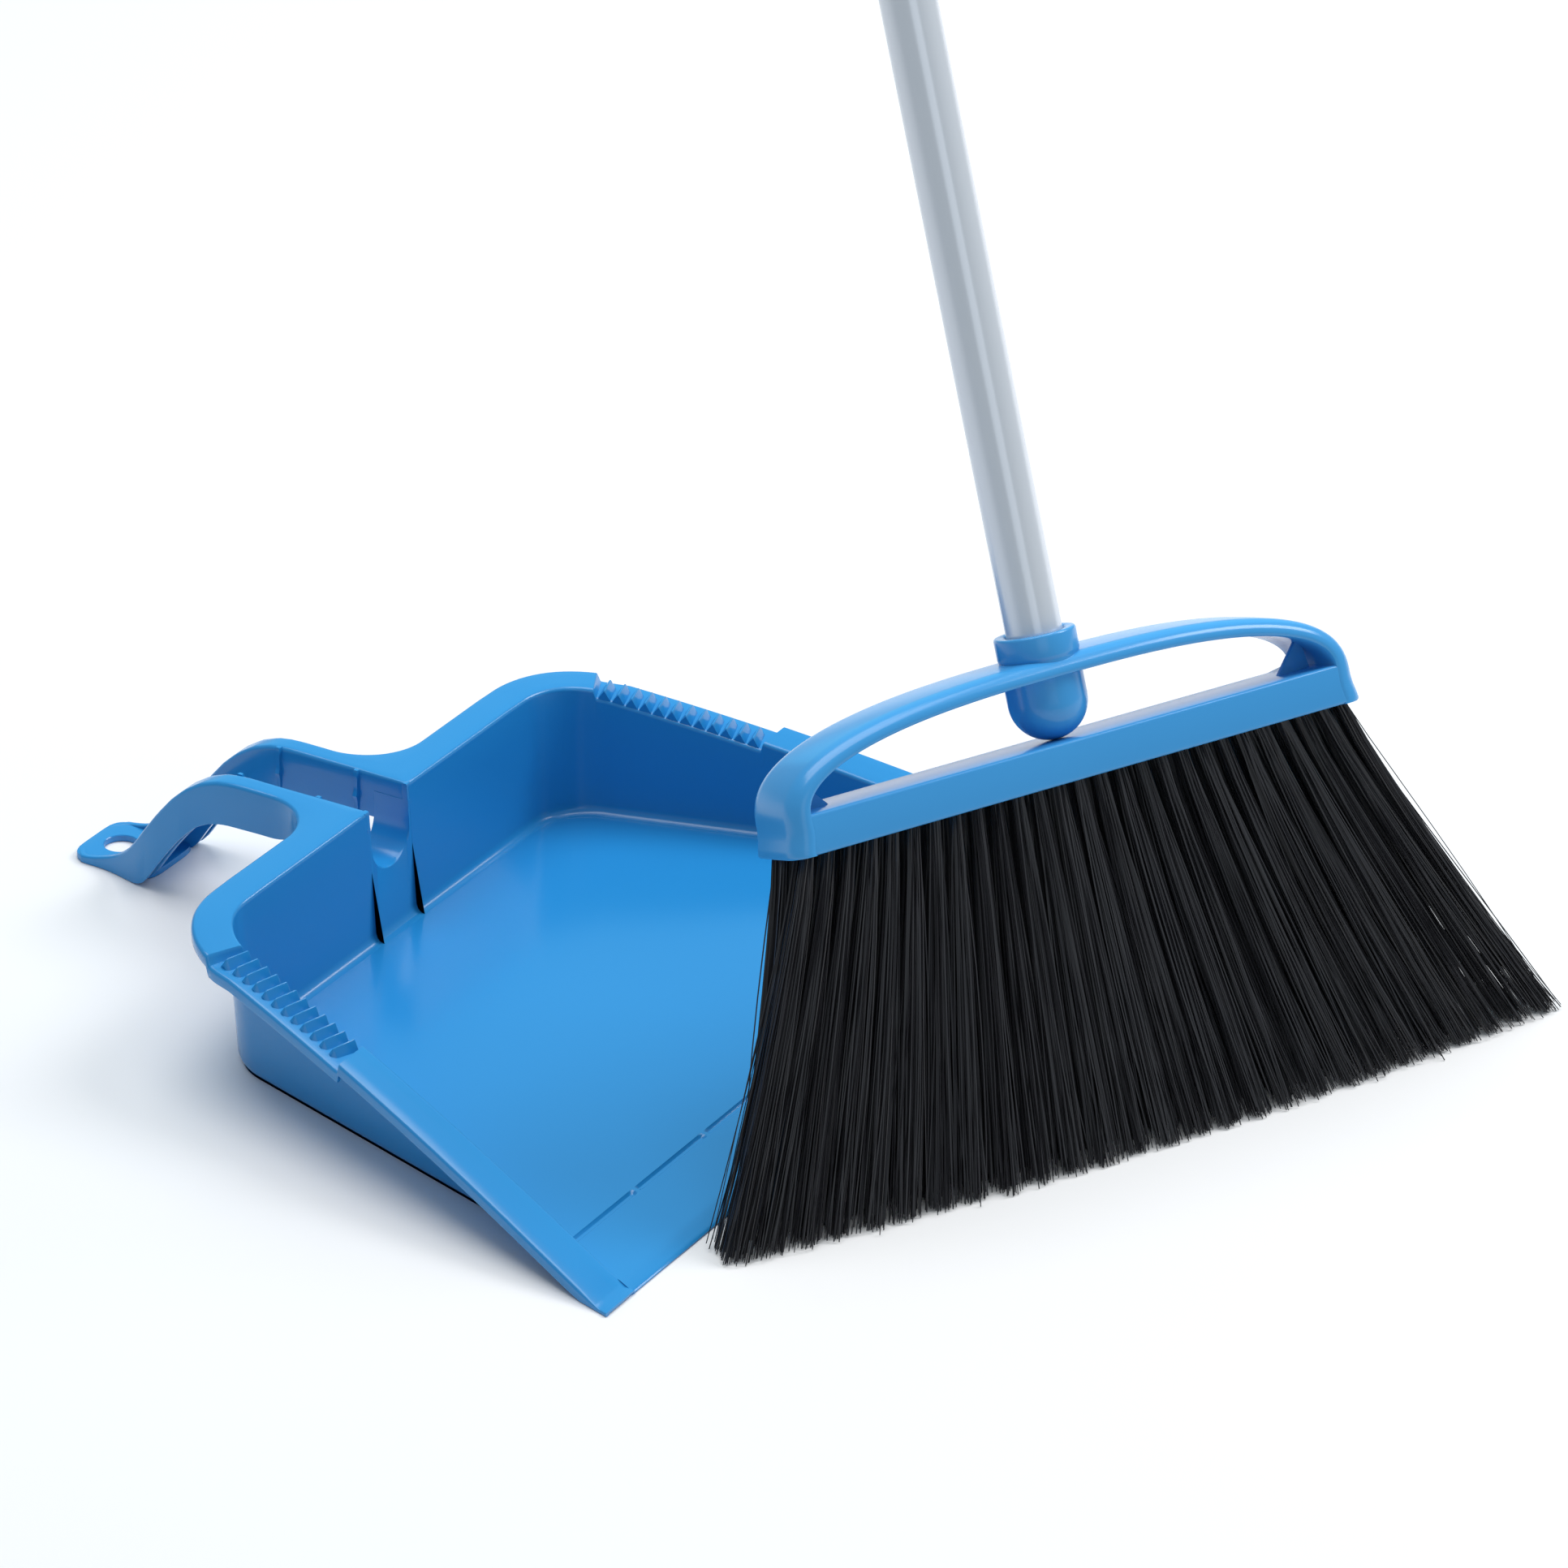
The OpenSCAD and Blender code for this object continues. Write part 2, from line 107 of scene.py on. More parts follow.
class PanSizes(bpy.types.PropertyGroup):
    floor_half: FloatProperty(name="Floor half width", description="Inside half width at the lip, mm",
                              default=163.0, min=120, max=200)
    floor_length: FloatProperty(name="Floor length", description="From the lip to the rear wall, mm",
                                default=202.0, min=150, max=260)
    flare: FloatProperty(name="Flare", description="Angle of the side walls in plan, degrees", default=16.0)
    corner: FloatProperty(name="Rear corner", description="Inside radius of the rear corners, mm",
                          default=24.0)
    rim_height: FloatProperty(name="Rim height", description="Height of the rim at the rear, mm",
                              default=53.4)
    rim_width: FloatProperty(name="Rim width", description="Width of the rim flange, mm", default=17.0)
    rim_slope: FloatProperty(name="Rim slope", description="Slope of the side rims, degrees", default=18.0)
    draft: FloatProperty(name="Draft", description="Outward lean of the walls over their height, mm",
                         default=2.6)
    wall: FloatProperty(name="Wall", description="Wall thickness, mm", default=2.2, min=1.6, max=3)
    edge: FloatProperty(name="Edge rounding", description="Radius of the rim's edges, mm", default=1.5)
    handle: FloatProperty(name="Handle length", description="From the rear wall to the foot's end, mm",
                          default=131.0)
    teeth: IntProperty(name="Comb teeth", description="Teeth on each side rim", default=12, min=6, max=16)


class BroomSizes(bpy.types.PropertyGroup):
    tufts: IntProperty(name="Tufts in a row", description="Tufts in each of the four rows", default=27)
    pitch: FloatProperty(name="Tuft pitch", description="Distance between tufts, mm", default=8.1)
    filaments: IntProperty(name="Filaments", description="Filaments in each tuft", default=84, min=8, max=100)
    filament_radius: FloatProperty(name="Filament radius", description="Radius of one filament, mm",
                                   default=0.29)
    fan: FloatProperty(name="Fan", description="Width at the tips over width at the roots", default=1.55)
    rear_fan: FloatProperty(name="Rear fan", description="The same for the two rear rows", default=1.36)
    bar_height: FloatProperty(name="Bar height", description="Height of the head's base bar, mm",
                              default=14.0)
    arch_height: FloatProperty(name="Arch height", description="Height of the arch, mm", default=42.0)


class Finishes(bpy.types.PropertyGroup):
    pan_colour: FloatVectorProperty(name="Pan blue", description="Colour of the pan's plastic",
                                    subtype="COLOR", default=(0.001, 0.118, 0.440), min=0, max=1)
    # the head is the same plastic as the pan: its lighter blue is painted light, for faces turned to the lamps
    # and the camera
    head_colour_lightened: FloatVectorProperty(name="Head blue", description="Colour of the head's plastic",
                                     subtype="COLOR", default=(0.003, 0.150, 0.500), min=0, max=1)
    blade_colour: FloatVectorProperty(name="Blade blue", description="Colour of the flexible blade",
                                      subtype="COLOR", default=(0.004, 0.150, 0.420), min=0, max=1)
    bristle_colour: FloatVectorProperty(name="Bristles", description="Colour of the filaments",
                                        subtype="COLOR", default=(0.012, 0.012, 0.013), min=0, max=1)
    pole_colour: FloatVectorProperty(name="Pole", description="Colour of the pole's coating", subtype="COLOR",
                                     default=(0.36, 0.40, 0.47), min=0, max=1)
    sheen: FloatVectorProperty(name="Plastic sheen", description="Tint of the gloss plastic's reflections",
                               subtype="COLOR", default=(0.15, 0.70, 1.0), min=0, max=1)
    gloss: FloatProperty(name="Plastic roughness", description="Roughness of the gloss plastic", default=0.09,
                         min=0.02, max=0.6, subtype="FACTOR")


class StageSetup(bpy.types.PropertyGroup):
    azimuth: FloatProperty(name="Azimuth", description="Camera's turn round the set, degrees",
                           default=-58.603)
    elevation: FloatProperty(name="Elevation", description="Camera's height over the horizon, degrees",
                             default=27.906)
    lens: FloatProperty(name="Lens", description="Focal length on a 36 mm sensor, mm", default=198.13)
    light: FloatProperty(name="Light", description="Strength of the studio lamps", default=1.0, min=0)


# ---------------------------------------------------------------- meshes from arrays

def grid(nu, nv, close_u=False, close_v=False):
    """Quads of a grid of nu by nv points, numbered row by row. A closed direction joins its last line to
    its first."""
    u = np.arange(nu if close_u else nu - 1)[:, None]
    v = np.arange(nv if close_v else nv - 1)[None, :]
    u2, v2 = (u + 1) % nu, (v + 1) % nv
    return np.stack([u * nv + v, u2 * nv + v, u2 * nv + v2, u * nv + v2], -1).reshape(-1, 4)


def new_piece(name, points, faces, material, body, sharp=38.0, replaces=(), merge=0.0):
    """Makes one finished piece from points in millimetres and faces, turns its faces outwards and lets it
    ride on its body."""
    mesh = bpy.data.meshes.new(name)
    rows = [r for block in faces for r in (block.tolist() if isinstance(block, np.ndarray) else block)]
    mesh.from_pydata(np.asarray(points, float).reshape(-1, 3) * MM, [], rows)
    work = bmesh.new()
    work.from_mesh(mesh)
    if merge:
        bmesh.ops.remove_doubles(work, verts=work.verts, dist=merge * MM)
        bmesh.ops.dissolve_degenerate(work, edges=work.edges, dist=1e-7)
    bmesh.ops.recalc_face_normals(work, faces=work.faces)
    work.to_mesh(mesh)
    work.free()
    mesh.shade_smooth()
    mesh.set_sharp_from_angle(angle=math.radians(sharp))
    mesh.materials.append(material)
    piece = bpy.data.objects.new(name, mesh)
    bpy.context.scene.collection.objects.link(piece)
    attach(piece, body)
    if replaces:
        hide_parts(*replaces)
    return piece


def closed_loft(sections):
    """Points and faces of a solid whose closed cross-sections, an array of stations by points, follow a path.
    Both ends are closed with one face each."""
    n, m = sections.shape[:2]
    ends = [list(range(m)), list(range((n - 1) * m, n * m))]
    return sections.reshape(-1, 3), [grid(n, m, close_v=True), ends]


def lathe(profile, turns=64):
    """A profile of radius and height turned once about the height axis: x = r cos t, y = r sin t."""
    t = np.linspace(0, 2 * np.pi, turns, endpoint=False)
    r, z = np.asarray(profile, float).T
    return np.stack([r[:, None] * np.cos(t), r[:, None] * np.sin(t), z[:, None] + 0 * t], -1)


def rounded_box_profile(half_y, z0, z1, radius, n=5):
    """Closed outline of a rectangle with quarter-circle corners, y against z, counted round once."""
    t = np.linspace(0, np.pi / 2, n)
    corner = np.stack([np.cos(t), np.sin(t)], -1) * radius
    c = [(half_y - radius, z1 - radius), (-half_y + radius, z1 - radius),
         (-half_y + radius, z0 + radius), (half_y - radius, z0 + radius)]
    out = []
    for k, (cy, cz) in enumerate(c):
        a = k * np.pi / 2
        turn = np.array([[np.cos(a), -np.sin(a)], [np.sin(a), np.cos(a)]])
        out.append(corner @ turn.T + (cy, cz))
    return np.concatenate(out)


def smooth(x):
    """0 below 0, 1 above 1, and 3x2 - 2x3 between."""
    x = np.clip(x, 0, 1)
    return x * x * (3 - 2 * x)


# ---------------------------------------------------------------- node expressions

class Sum:
    """Wraps a socket, so that sums on it add Math nodes."""

    def __init__(self, book, socket):
        self.book, self.socket = book, socket

    def _math(self, operation, other):
        return self.book.add("ShaderNodeMath", {"operation": operation}, {0: self, 1: other})

    def __add__(self, other):
        return self._math("ADD", other)

    def __mul__(self, other):
        return self._math("MULTIPLY", other)

    __radd__, __rmul__ = __add__, __mul__


class Book:
    """A material's node tree."""

    def __init__(self, name):
        self.material = bpy.data.materials.new(name)
        self.material.use_nodes = True
        self.tree = self.material.node_tree
        self.tree.nodes.clear()
        self.output = self.tree.nodes.new("ShaderNodeOutputMaterial")

    def add(self, kind, settings=None, sockets=None, out=0):
        """Adds a node of a kind, with its settings first and then the values or links of its sockets."""
        node = self.tree.nodes.new(kind)
        for key, value in (settings or {}).items():
            setattr(node, key, value)
        for key, value in (sockets or {}).items():
            if isinstance(value, Sum):
                self.tree.links.new(value.socket, node.inputs[key])
            else:
                node.inputs[key].default_value = value
        return Sum(self, node.outputs[out])

    def place(self, scale=(1, 1, 1), turn=(0, 0, 0)):
        """Object coordinates, turned and scaled."""
        where = self.add("ShaderNodeTexCoord", out=3)
        return self.add("ShaderNodeMapping", {"vector_type": "POINT"},
                        {"Vector": where, "Scale": scale, "Rotation": turn})

    def noise(self, vector, scale, detail=3.0, roughness=0.5):
        """Three-dimensional noise from 0 to 1."""
        return self.add("ShaderNodeTexNoise", {"noise_dimensions": "3D"},
                        {"Vector": vector, "Scale": scale, "Detail": detail, "Roughness": roughness})

    def blend(self, share, a, b):
        """Colour a changed towards colour b by a share."""
        return self.add("ShaderNodeMix", {"data_type": "RGBA"}, {0: share, 6: a, 7: b}, out=2)

    def spread(self, value, low, high, to_low=0.0, to_high=1.0):
        """A value's range from low to high spread over another range, and cut at its ends."""
        return self.add("ShaderNodeMapRange", {"clamp": True}, {
            "Value": value, "From Min": low, "From Max": high, "To Min": to_low, "To Max": to_high})

    def bump(self, height, strength, distance):
        """A normal that leans as a height's slope does."""
        return self.add("ShaderNodeBump", None, {
            "Strength": strength, "Distance": distance, "Height": height})

    def shader(self, sockets):
        """The material, with its one surface shader."""
        made = self.add("ShaderNodeBsdfPrincipled", None, sockets)
        self.tree.links.new(made.socket, self.output.inputs["Surface"])
        return self.material


def tone(colour, factor):
    """A colour made lighter or darker."""
    return tuple(min(1.0, c * factor) for c in colour) + (1,)


SCUFF_BLUE = (0.10, 0.36, 0.66, 1)


def gloss_plastic(name, colour, roughness, sheen):
    """Injection-moulded gloss plastic: colour that drifts a little with flow, soft sink waviness, fine scuffs
    that only roughen, and a clear skin."""
    book = Book(name)
    where = book.place()
    flow = book.noise(where, 9.0, 2.0)
    fine = book.noise(where, 420.0, 4.0, 0.6)
    scuff = book.spread(book.noise(book.place((40, 900, 300), (0.4, 0.2, 0.9)), 1.0, 5.0, 0.7), 0.60, 0.74)
    shade = book.blend(book.spread(flow, 0.35, 0.65), tone(colour, 0.90), tone(colour, 1.10))
    scuffed = book.blend(scuff * 0.06, shade, SCUFF_BLUE)
    rough = fine * 0.03 + (roughness - 0.02) + scuff * 0.12
    height = book.noise(where, 22.0, 1.0) + fine * 0.012
    return book.shader({
        "Base Color": scuffed, "Roughness": rough, "Normal": book.bump(height, 0.35, 0.0006),
        "IOR": 1.5, "Specular IOR Level": 0.5, "Specular Tint": tone(sheen, 1.0)})


def bristle_plastic(name, colour):
    """Drawn filament: black, with a grey lightness that differs from one filament to the next (partly random
    tone, partly painted highlight), and lighter streaks blended into its colour as a painted sheen."""
    book = Book(name)
    shade = book.add("ShaderNodeAttribute", {"attribute_name": "filament"}, out=2)
    streak = book.noise(book.place(), 260.0, 2.0)
    # per-filament lightness: partly random tone, partly painted highlight on the strands
    filament_tone_and_highlight = book.blend(book.spread(shade, 0.45, 1.0), tone(colour, 0.5), tone(colour, 7.0))
    # lighter noise streaks blended into the colour: painted sheen
    body = book.blend(book.spread(streak, 0.45, 0.7) * 0.5, filament_tone_and_highlight, tone(colour, 2.2))
    return book.shader({
        "Base Color": body, "Roughness": book.spread(shade, 0, 1, 0.22, 0.40),
        "Normal": book.bump(streak, 0.15, 0.0002), "Specular IOR Level": 0.6, "IOR": 1.5})


def soft_blade(name, colour):
    """Flexible blade plastic: satin, with faint drawn lines along its height."""
    book = Book(name)
    lines = book.noise(book.place((300, 300, 12)), 1.0, 3.0)
    shade = book.blend(book.spread(lines, 0.35, 0.65), tone(colour, 0.85), tone(colour, 1.15))
    return book.shader({"Base Color": shade, "Roughness": lines * 0.10 + 0.28,
                        "Normal": book.bump(lines, 0.10, 0.0003), "IOR": 1.5})


def pole_coating(name, colour):
    """Baked gloss coating on a steel tube: faint orange peel, small specks, and a clear skin."""
    book = Book(name)
    where = book.place()
    peel = book.noise(where, 260.0, 2.0, 0.4)
    specks = book.spread(book.noise(where, 1500.0, 2.0), 0.70, 0.76)
    drift = book.noise(book.place((3, 3, 1.2)), 2.0, 2.0)
    shade = book.blend(book.spread(drift, 0.3, 0.7), tone(colour, 0.94), tone(colour, 1.05))
    speckled = book.blend(specks * 0.35, shade, tone(colour, 0.55))
    return book.shader({
        "Base Color": speckled, "Roughness": peel * 0.08 + 0.16, "Metallic": specks * 0.1 + 0.12,
        "Normal": book.bump(peel, 0.12, 0.0002), "Coat Weight": 0.6, "Coat Roughness": 0.05})


def dull_plastic(name, colour):
    """Matte black plastic with a fine moulded grain."""
    book = Book(name)
    grain = book.noise(book.place(), 900.0, 3.0)
    shade = book.blend(grain, tone(colour, 0.8), tone(colour, 1.25))
    return book.shader({"Base Color": shade, "Roughness": grain * 0.15 + 0.45,
                        "Normal": book.bump(grain, 0.25, 0.0002)})


def stamped_steel(name):
    """Cut wire: bright steel with drawing lines and slight tarnish."""
    book = Book(name)
    lines = book.noise(book.place((60, 60, 900)), 3.0, 3.0)
    tarnish = book.noise(book.place(), 120.0, 3.0)
    shade = book.blend(book.spread(tarnish, 0.5, 0.8), (0.62, 0.62, 0.63, 1), (0.36, 0.33, 0.29, 1))
    return book.shader({"Base Color": shade, "Metallic": tarnish * 0.1 + 0.9, "Roughness": lines * 0.2 + 0.22,
                        "Normal": book.bump(lines, 0.2, 0.0001)})


def studio_paper(name):
    """Matte white paper with the faintest mottling."""
    book = Book(name)
    mottle = book.noise(book.place(), 2.2, 2.0)
    shade = book.blend(mottle, (0.86, 0.86, 0.87, 1), (0.88, 0.88, 0.885, 1))
    return book.shader({"Base Color": shade, "Roughness": mottle * 0.05 + 0.5, "Specular IOR Level": 0.25})


PLUG_BLACK = (0.02, 0.021, 0.023)


def material(name):
    """The named finish, made once."""
    if name in bpy.data.materials:
        return bpy.data.materials[name]
    f = bpy.context.scene.sweep_finishes
    made = {
        "pan_plastic": lambda: gloss_plastic(name, f.pan_colour, f.gloss, f.sheen),
        # painted light: the head's finish is the pan's plastic made a lighter blue
        "head_plastic": lambda: gloss_plastic(name, f.head_colour_lightened, f.gloss + 0.03, f.sheen),
        "bristle": lambda: bristle_plastic(name, f.bristle_colour),
        "blade_rubber": lambda: soft_blade(name, f.blade_colour),
        "pole_coating": lambda: pole_coating(name, f.pole_colour),
        "plug_plastic": lambda: dull_plastic(name, PLUG_BLACK),
        "anchor_wire": lambda: stamped_steel(name),
        "studio_paper": lambda: studio_paper(name),
    }
    return made[name]()


# ---------------------------------------------------------------- pan

class PanPlan:
    """The pan's outline and heights, in millimetres from the middle of its lip."""

    def __init__(self, s):
        self.s = s
        self.flare = math.radians(s.flare)
        sf, cf = math.sin(self.flare), math.cos(self.flare)
        self.cy = s.floor_length - s.corner
        self.cx = (s.floor_half * cf - s.corner - self.cy * sf) / cf
        self.floor_t = s.wall + 0.3
        # the side rim rises straight this far from the lip and flattens behind it
        self.slope = math.tan(math.radians(s.rim_slope))
        self.straight = 40.0
        self.flatten = (s.floor_length * self.slope - s.rim_height) / (s.floor_length - self.straight) ** 2
        # the comb's length, its two ends measured from the lip, and how deep it is sunk into the rim
        self.comb_length = 58.0
        self.comb_1 = s.floor_length - 14.0
        self.comb_0 = self.comb_1 - self.comb_length
        self.drop = 3.2
        # height of the rim's turned-down edge, and the lower edge of the handle's rails as a share of the rim
        self.skirt = 4.6
        self.rail_low = 0.681
        # half the width between the rails and over them, and the fillet between rail and rear rim
        self.channel = 12.0
        self.rail = 20.4
        self.fillet = 22.0
        # the notch's radius and the height of its centre
        notch_play, notch_low = 0.2, 27.0
        self.notch_r = self.channel - notch_play
        self.notch_z = notch_low + self.channel - notch_play
        self.leg_y = s.floor_length + s.handle - 20.0
        self.foot_y = s.floor_length + s.handle

    def rim_top(self, y):
        """Rim height at distance y from the lip: a straight slope, less a square that grows behind its
        straight stretch, rounded into level at the rear."""
        s = self.s
        y = np.asarray(y, float)
        rise = y * self.slope - self.flatten * np.maximum(0, y - self.straight) ** 2
        rise = np.where(y > s.floor_length + 20, s.rim_height + 2, rise)
        return np.maximum(1.4, np.minimum(rise, s.rim_height)
                          - np.maximum(0, 1 - np.abs(rise - s.rim_height)) ** 2 / 4)

    def base(self, kind, value):
        """A point on the inner floor line and its outward direction, for the side, the corner or the rear."""
        sf, cf = math.sin(self.flare), math.cos(self.flare)
        if kind == "side":
            return np.array([self.s.floor_half - value * sf / cf, value]), np.array([cf, sf])
        if kind == "arc":
            d = np.array([math.cos(value), math.sin(value)])
            return np.array([self.cx, self.cy]) + self.s.corner * d, d
        return np.array([value, self.cy + self.s.corner]), np.array([0.0, 1.0])

    def side_end(self):
        """Distance from the lip at which the straight side meets the corner arc."""
        return self.cy + self.s.corner * math.sin(self.flare)

    def leg(self, y, points):
        """Height of a side curve of the handle at distance y, through round numbers of share and height."""
        u = (np.asarray(y, float) - self.s.floor_length) / (self.leg_y - self.s.floor_length)
        at, h = np.array(points, float).T
        return np.interp(u, at, h) * self.s.rim_height


# the handle's upper and lower side curves: share of the way from the rear wall to the leg's foot, and share
# of the rim's height
LEG_TOP = [(0, 1), (0.46, 1), (0.51, 0.995), (0.56, 0.978), (0.622, 0.93), (0.685, 0.845), (0.739, 0.742),
           (0.793, 0.61), (0.847, 0.46), (0.892, 0.332), (0.928, 0.245), (0.964, 0.178), (1.0, 0.128),
           (1.04, 0.093), (1.08, 0.068), (1.12, 0.053), (1.18, 0.048), (1.3, 0.048)]
LEG_LOW = [(0, 0.681), (0.396, 0.681), (0.523, 0.674), (0.56, 0.662), (0.595, 0.641), (0.63, 0.607),
           (0.658, 0.565), (0.712, 0.454), (0.766, 0.315), (0.811, 0.185), (0.835, 0.11), (0.855, 0.055),
           (0.875, 0.02), (0.9, 0.003), (0.93, 0), (1.3, 0)]


def rim_section(inner, outer, normal, top, foot, skirt, wall, shape):
    """One closed cross-section of the pan's wall and rim, or of a handle rail. It runs from the floor
    fillet up the inner wall, over the rounded inner edge, along the flat top, over the outer edge, down the
    skirt, back under the flange and down the outer wall. inner and outer are plan points of the flange's
    two edges. The flange is laid out along the line between them, and the wall along its normal, leaning
    out as it rises."""
    across = outer - inner
    width = np.linalg.norm(across)
    d = across / width
    r = max(min(shape["edge"], 0.35 * (top - foot), 0.3 * width), 0.2)
    low = foot + (min(shape["floor"] + 0.03, 0.5 * (top - foot)) if shape["floor"] else 0)
    fillet = max(0.05, min(shape["fillet"], 0.6 * (top - r - low)))
    th = min(wall, 0.42 * width)
    ts = min(2.0, 0.42 * width)
    skirt = min(skirt, top - r - 0.3)
    under = max(top - wall * shape["steep"], skirt + 0.2, foot + 0.4)
    bottom = min(shape["bottom"], 0.4 * (under - foot))
    lean = lambda z: -shape["draft"] / shape["height"] * (top - z)
    q = np.linspace(0, np.pi / 2, 5)
    # rows are: distance along the flange, distance along the wall's normal, height
    pts = [(0, lean(low + fillet) - fillet * (1 - math.sin(k)), low + fillet * (1 - math.cos(k))) for k in q]
    pts += [(0, lean(z), z) for z in np.linspace(low + fillet, top - r, 5)[1:-1]]
    pts += [(r * (1 - math.cos(k)), lean(top - r) * math.cos(k), top - r + r * math.sin(k)) for k in q]
    pts += [(r + (width - 2 * r) * k, 0, top) for k in (0.33, 0.66)]
    pts += [(width - r + r * math.sin(k), 0, top - r + r * math.cos(k)) for k in q]
    pts += [(width, 0, skirt + 0.5), (width - 0.15, 0, skirt + 0.15), (width - 0.5, 0, skirt),
            (width - ts + 0.5, 0, skirt), (width - ts + 0.15, 0, skirt + 0.15), (width - ts, 0, skirt + 0.4)]
    pts += [(width - ts, 0, under - 0.1), (width - ts - 0.1, 0, under)]
    # a wide flange has a flat underside, and a narrow one goes straight into its wall
    pts += [(0.5 * width, 0, under) if width > 6 else (0, th, under)]
    pts += [(0, th + lean(under), under - 0.3)]
    pts += [(0, th + lean(z), z) for z in np.linspace(under - 0.3, foot + bottom, 4)[1:]]
    pts += [(0, th + lean(foot) - bottom * (1 - math.cos(k)), foot + bottom * (1 - math.sin(k)))
            for k in q[1:]]
    pts += [(0, min(lean(foot) - fillet, th + lean(foot) - bottom - 0.2), foot)]
    a, n, z = np.array(pts).T
    return np.stack([inner[0] + d[0] * a + normal[0] * n, inner[1] + d[1] * a + normal[1] * n, z], -1)


def pan_half(plan):
    """Stations of the right half of the pan's wall, rim and handle rail, from the lip to the foot's end."""
    s = plan.s
    h = s.rim_height
    pan_shape = dict(edge=s.edge, fillet=3.5, floor=plan.floor_t, steep=1.0, draft=s.draft, height=h,
                     bottom=4.0)
    out = []

    def pan_station(kind, value, sunk=0.0):
        b, n = plan.base(kind, value)
        y = float(b[1]) if kind != "rear" else s.floor_length + 60
        top = float(plan.rim_top(y)) - sunk
        inner = b + n * s.draft * top / h
        outer = b + n * s.rim_width
        if kind == "side":
            inner[1] = outer[1] = value
            inner[0] += n[1] * n[1] / n[0] * s.draft * top / h
            outer[0] += n[1] * n[1] / n[0] * s.rim_width
        out.append(rim_section(inner, outer, n, top, 0.0, max(top - plan.skirt, 0.0), s.wall, pan_shape))

    # distances from the lip, close together where the rim starts and before the comb
    for y in [0.0, 0.4, 1.2, 2.5, 4, 6, 9, 13, 20, 32, 48, 66, 84, 98, 108, 116, 122, plan.comb_0 - 1.2]:
        pan_station("side", y)
    c0, c1, end = plan.comb_0, plan.comb_1, plan.side_end()
    ramp = np.array([0.0, 0.25, 0.6, 0.85, 1.0])
    for k in ramp:
        pan_station("side", c0 - 0.8 + 0.9 * k, plan.drop * float(smooth(k)))
    angle_at = lambda y: math.asin(min(1.0, (y - plan.cy) / s.corner))
    for y in np.linspace(c0 + 1.5, end, 14):
        pan_station("side", float(y), plan.drop)
    last = angle_at(c1)
    for a in np.linspace(plan.flare, last, 4)[1:]:
        pan_station("arc", float(a), plan.drop)
    for k in ramp[1:]:
        pan_station("arc", last + 0.045 * k, plan.drop * (1 - float(smooth(k))))
    for a in np.linspace(last + 0.045, np.pi / 2, 16)[1:]:
        pan_station("arc", float(a))
    y_in = s.floor_length + s.draft
    fx, fy = plan.rail + plan.fillet, s.floor_length + s.rim_width + plan.fillet
    for x in np.linspace(plan.cx, fx, 6)[1:]:
        pan_station("rear", float(x))

    rho = 0.8
    rail_foot = plan.rail_low * h
    n_rear, n_rail = np.array([0.0, 1.0]), np.array([1.0, 0.0])

    def fillet_point(deg):
        """Point on the fillet between the rear rim's outer edge and the rail's, by the angle turned."""
        a = math.radians(deg)
        return np.array([fx - plan.fillet * math.sin(a), fy - plan.fillet * math.cos(a)])

    def skirt_at(deg):
        """Foot of the outer edge, which sinks to the rail's lower edge as the fillet turns."""
        return h - plan.skirt - (h - plan.skirt - rail_foot) * float(smooth((deg - 15) / 75))

    for k in np.linspace(0, 1, 8)[1:]:
        deg = 34 * k
        inner = np.array([fx + (plan.channel + rho - fx) * k, y_in])
        out.append(rim_section(inner, fillet_point(deg), n_rear, h, 0.0, skirt_at(deg), s.wall, pan_shape))
    rail_shape = dict(edge=s.edge, fillet=0.05, floor=0, steep=1.0, draft=0.0, height=h, bottom=0.4)
    for k in np.linspace(0, 1, 5):
        a, deg = k * np.pi / 2, 34.01 + 20 * k
        inner = np.array([plan.channel + rho * (1 - math.sin(a)), y_in + rho * (1 - math.cos(a))])
        out.append(rim_section(inner, fillet_point(deg), n_rail * k + n_rear * (1 - k), h, rail_foot,
                               skirt_at(deg), s.wall, rail_shape))
    for k in np.linspace(0, 1, 9)[1:]:
        deg = 54.01 + 35.99 * k
        inner = np.array([plan.channel, y_in + rho + (fy - y_in - rho) * k])
        out.append(rim_section(inner, fillet_point(deg), n_rail, h, rail_foot, skirt_at(deg), s.wall,
                               rail_shape))
    ys = np.concatenate([np.linspace(fy, plan.leg_y - 64, 4)[1:],
                         np.linspace(plan.leg_y - 61, plan.foot_y - 5, 34),
                         [plan.foot_y - 3, plan.foot_y - 1.4, plan.foot_y - 0.5]])
    # down the leg the rails draw in and thin, and at the foot's end they round off
    rail_width, thinning, draw_in, round_off = 8.4, 5.8, 4.9, 5.5
    for y in ys:
        top, low = float(plan.leg(y, LEG_TOP)), float(plan.leg(y, LEG_LOW))
        rise = abs(float(plan.leg(y + 1, LEG_TOP)) - float(plan.leg(y - 1, LEG_TOP))) / 2
        k = float(smooth((y - (plan.leg_y - 22)) / 30))
        tip = float(smooth((y - (plan.foot_y - 7)) / 7))
        x1 = plan.rail - draw_in * k - round_off * tip * tip
        x0 = x1 - (rail_width - thinning * k) - 2 * tip
        shape = dict(rail_shape, steep=min(2.2, math.hypot(1, rise)))
        out.append(rim_section(np.array([x0, y]), np.array([x1, y]), n_rail, top, low, low, s.wall, shape))
    return np.array(out)


FLOOR_COLUMNS = 341


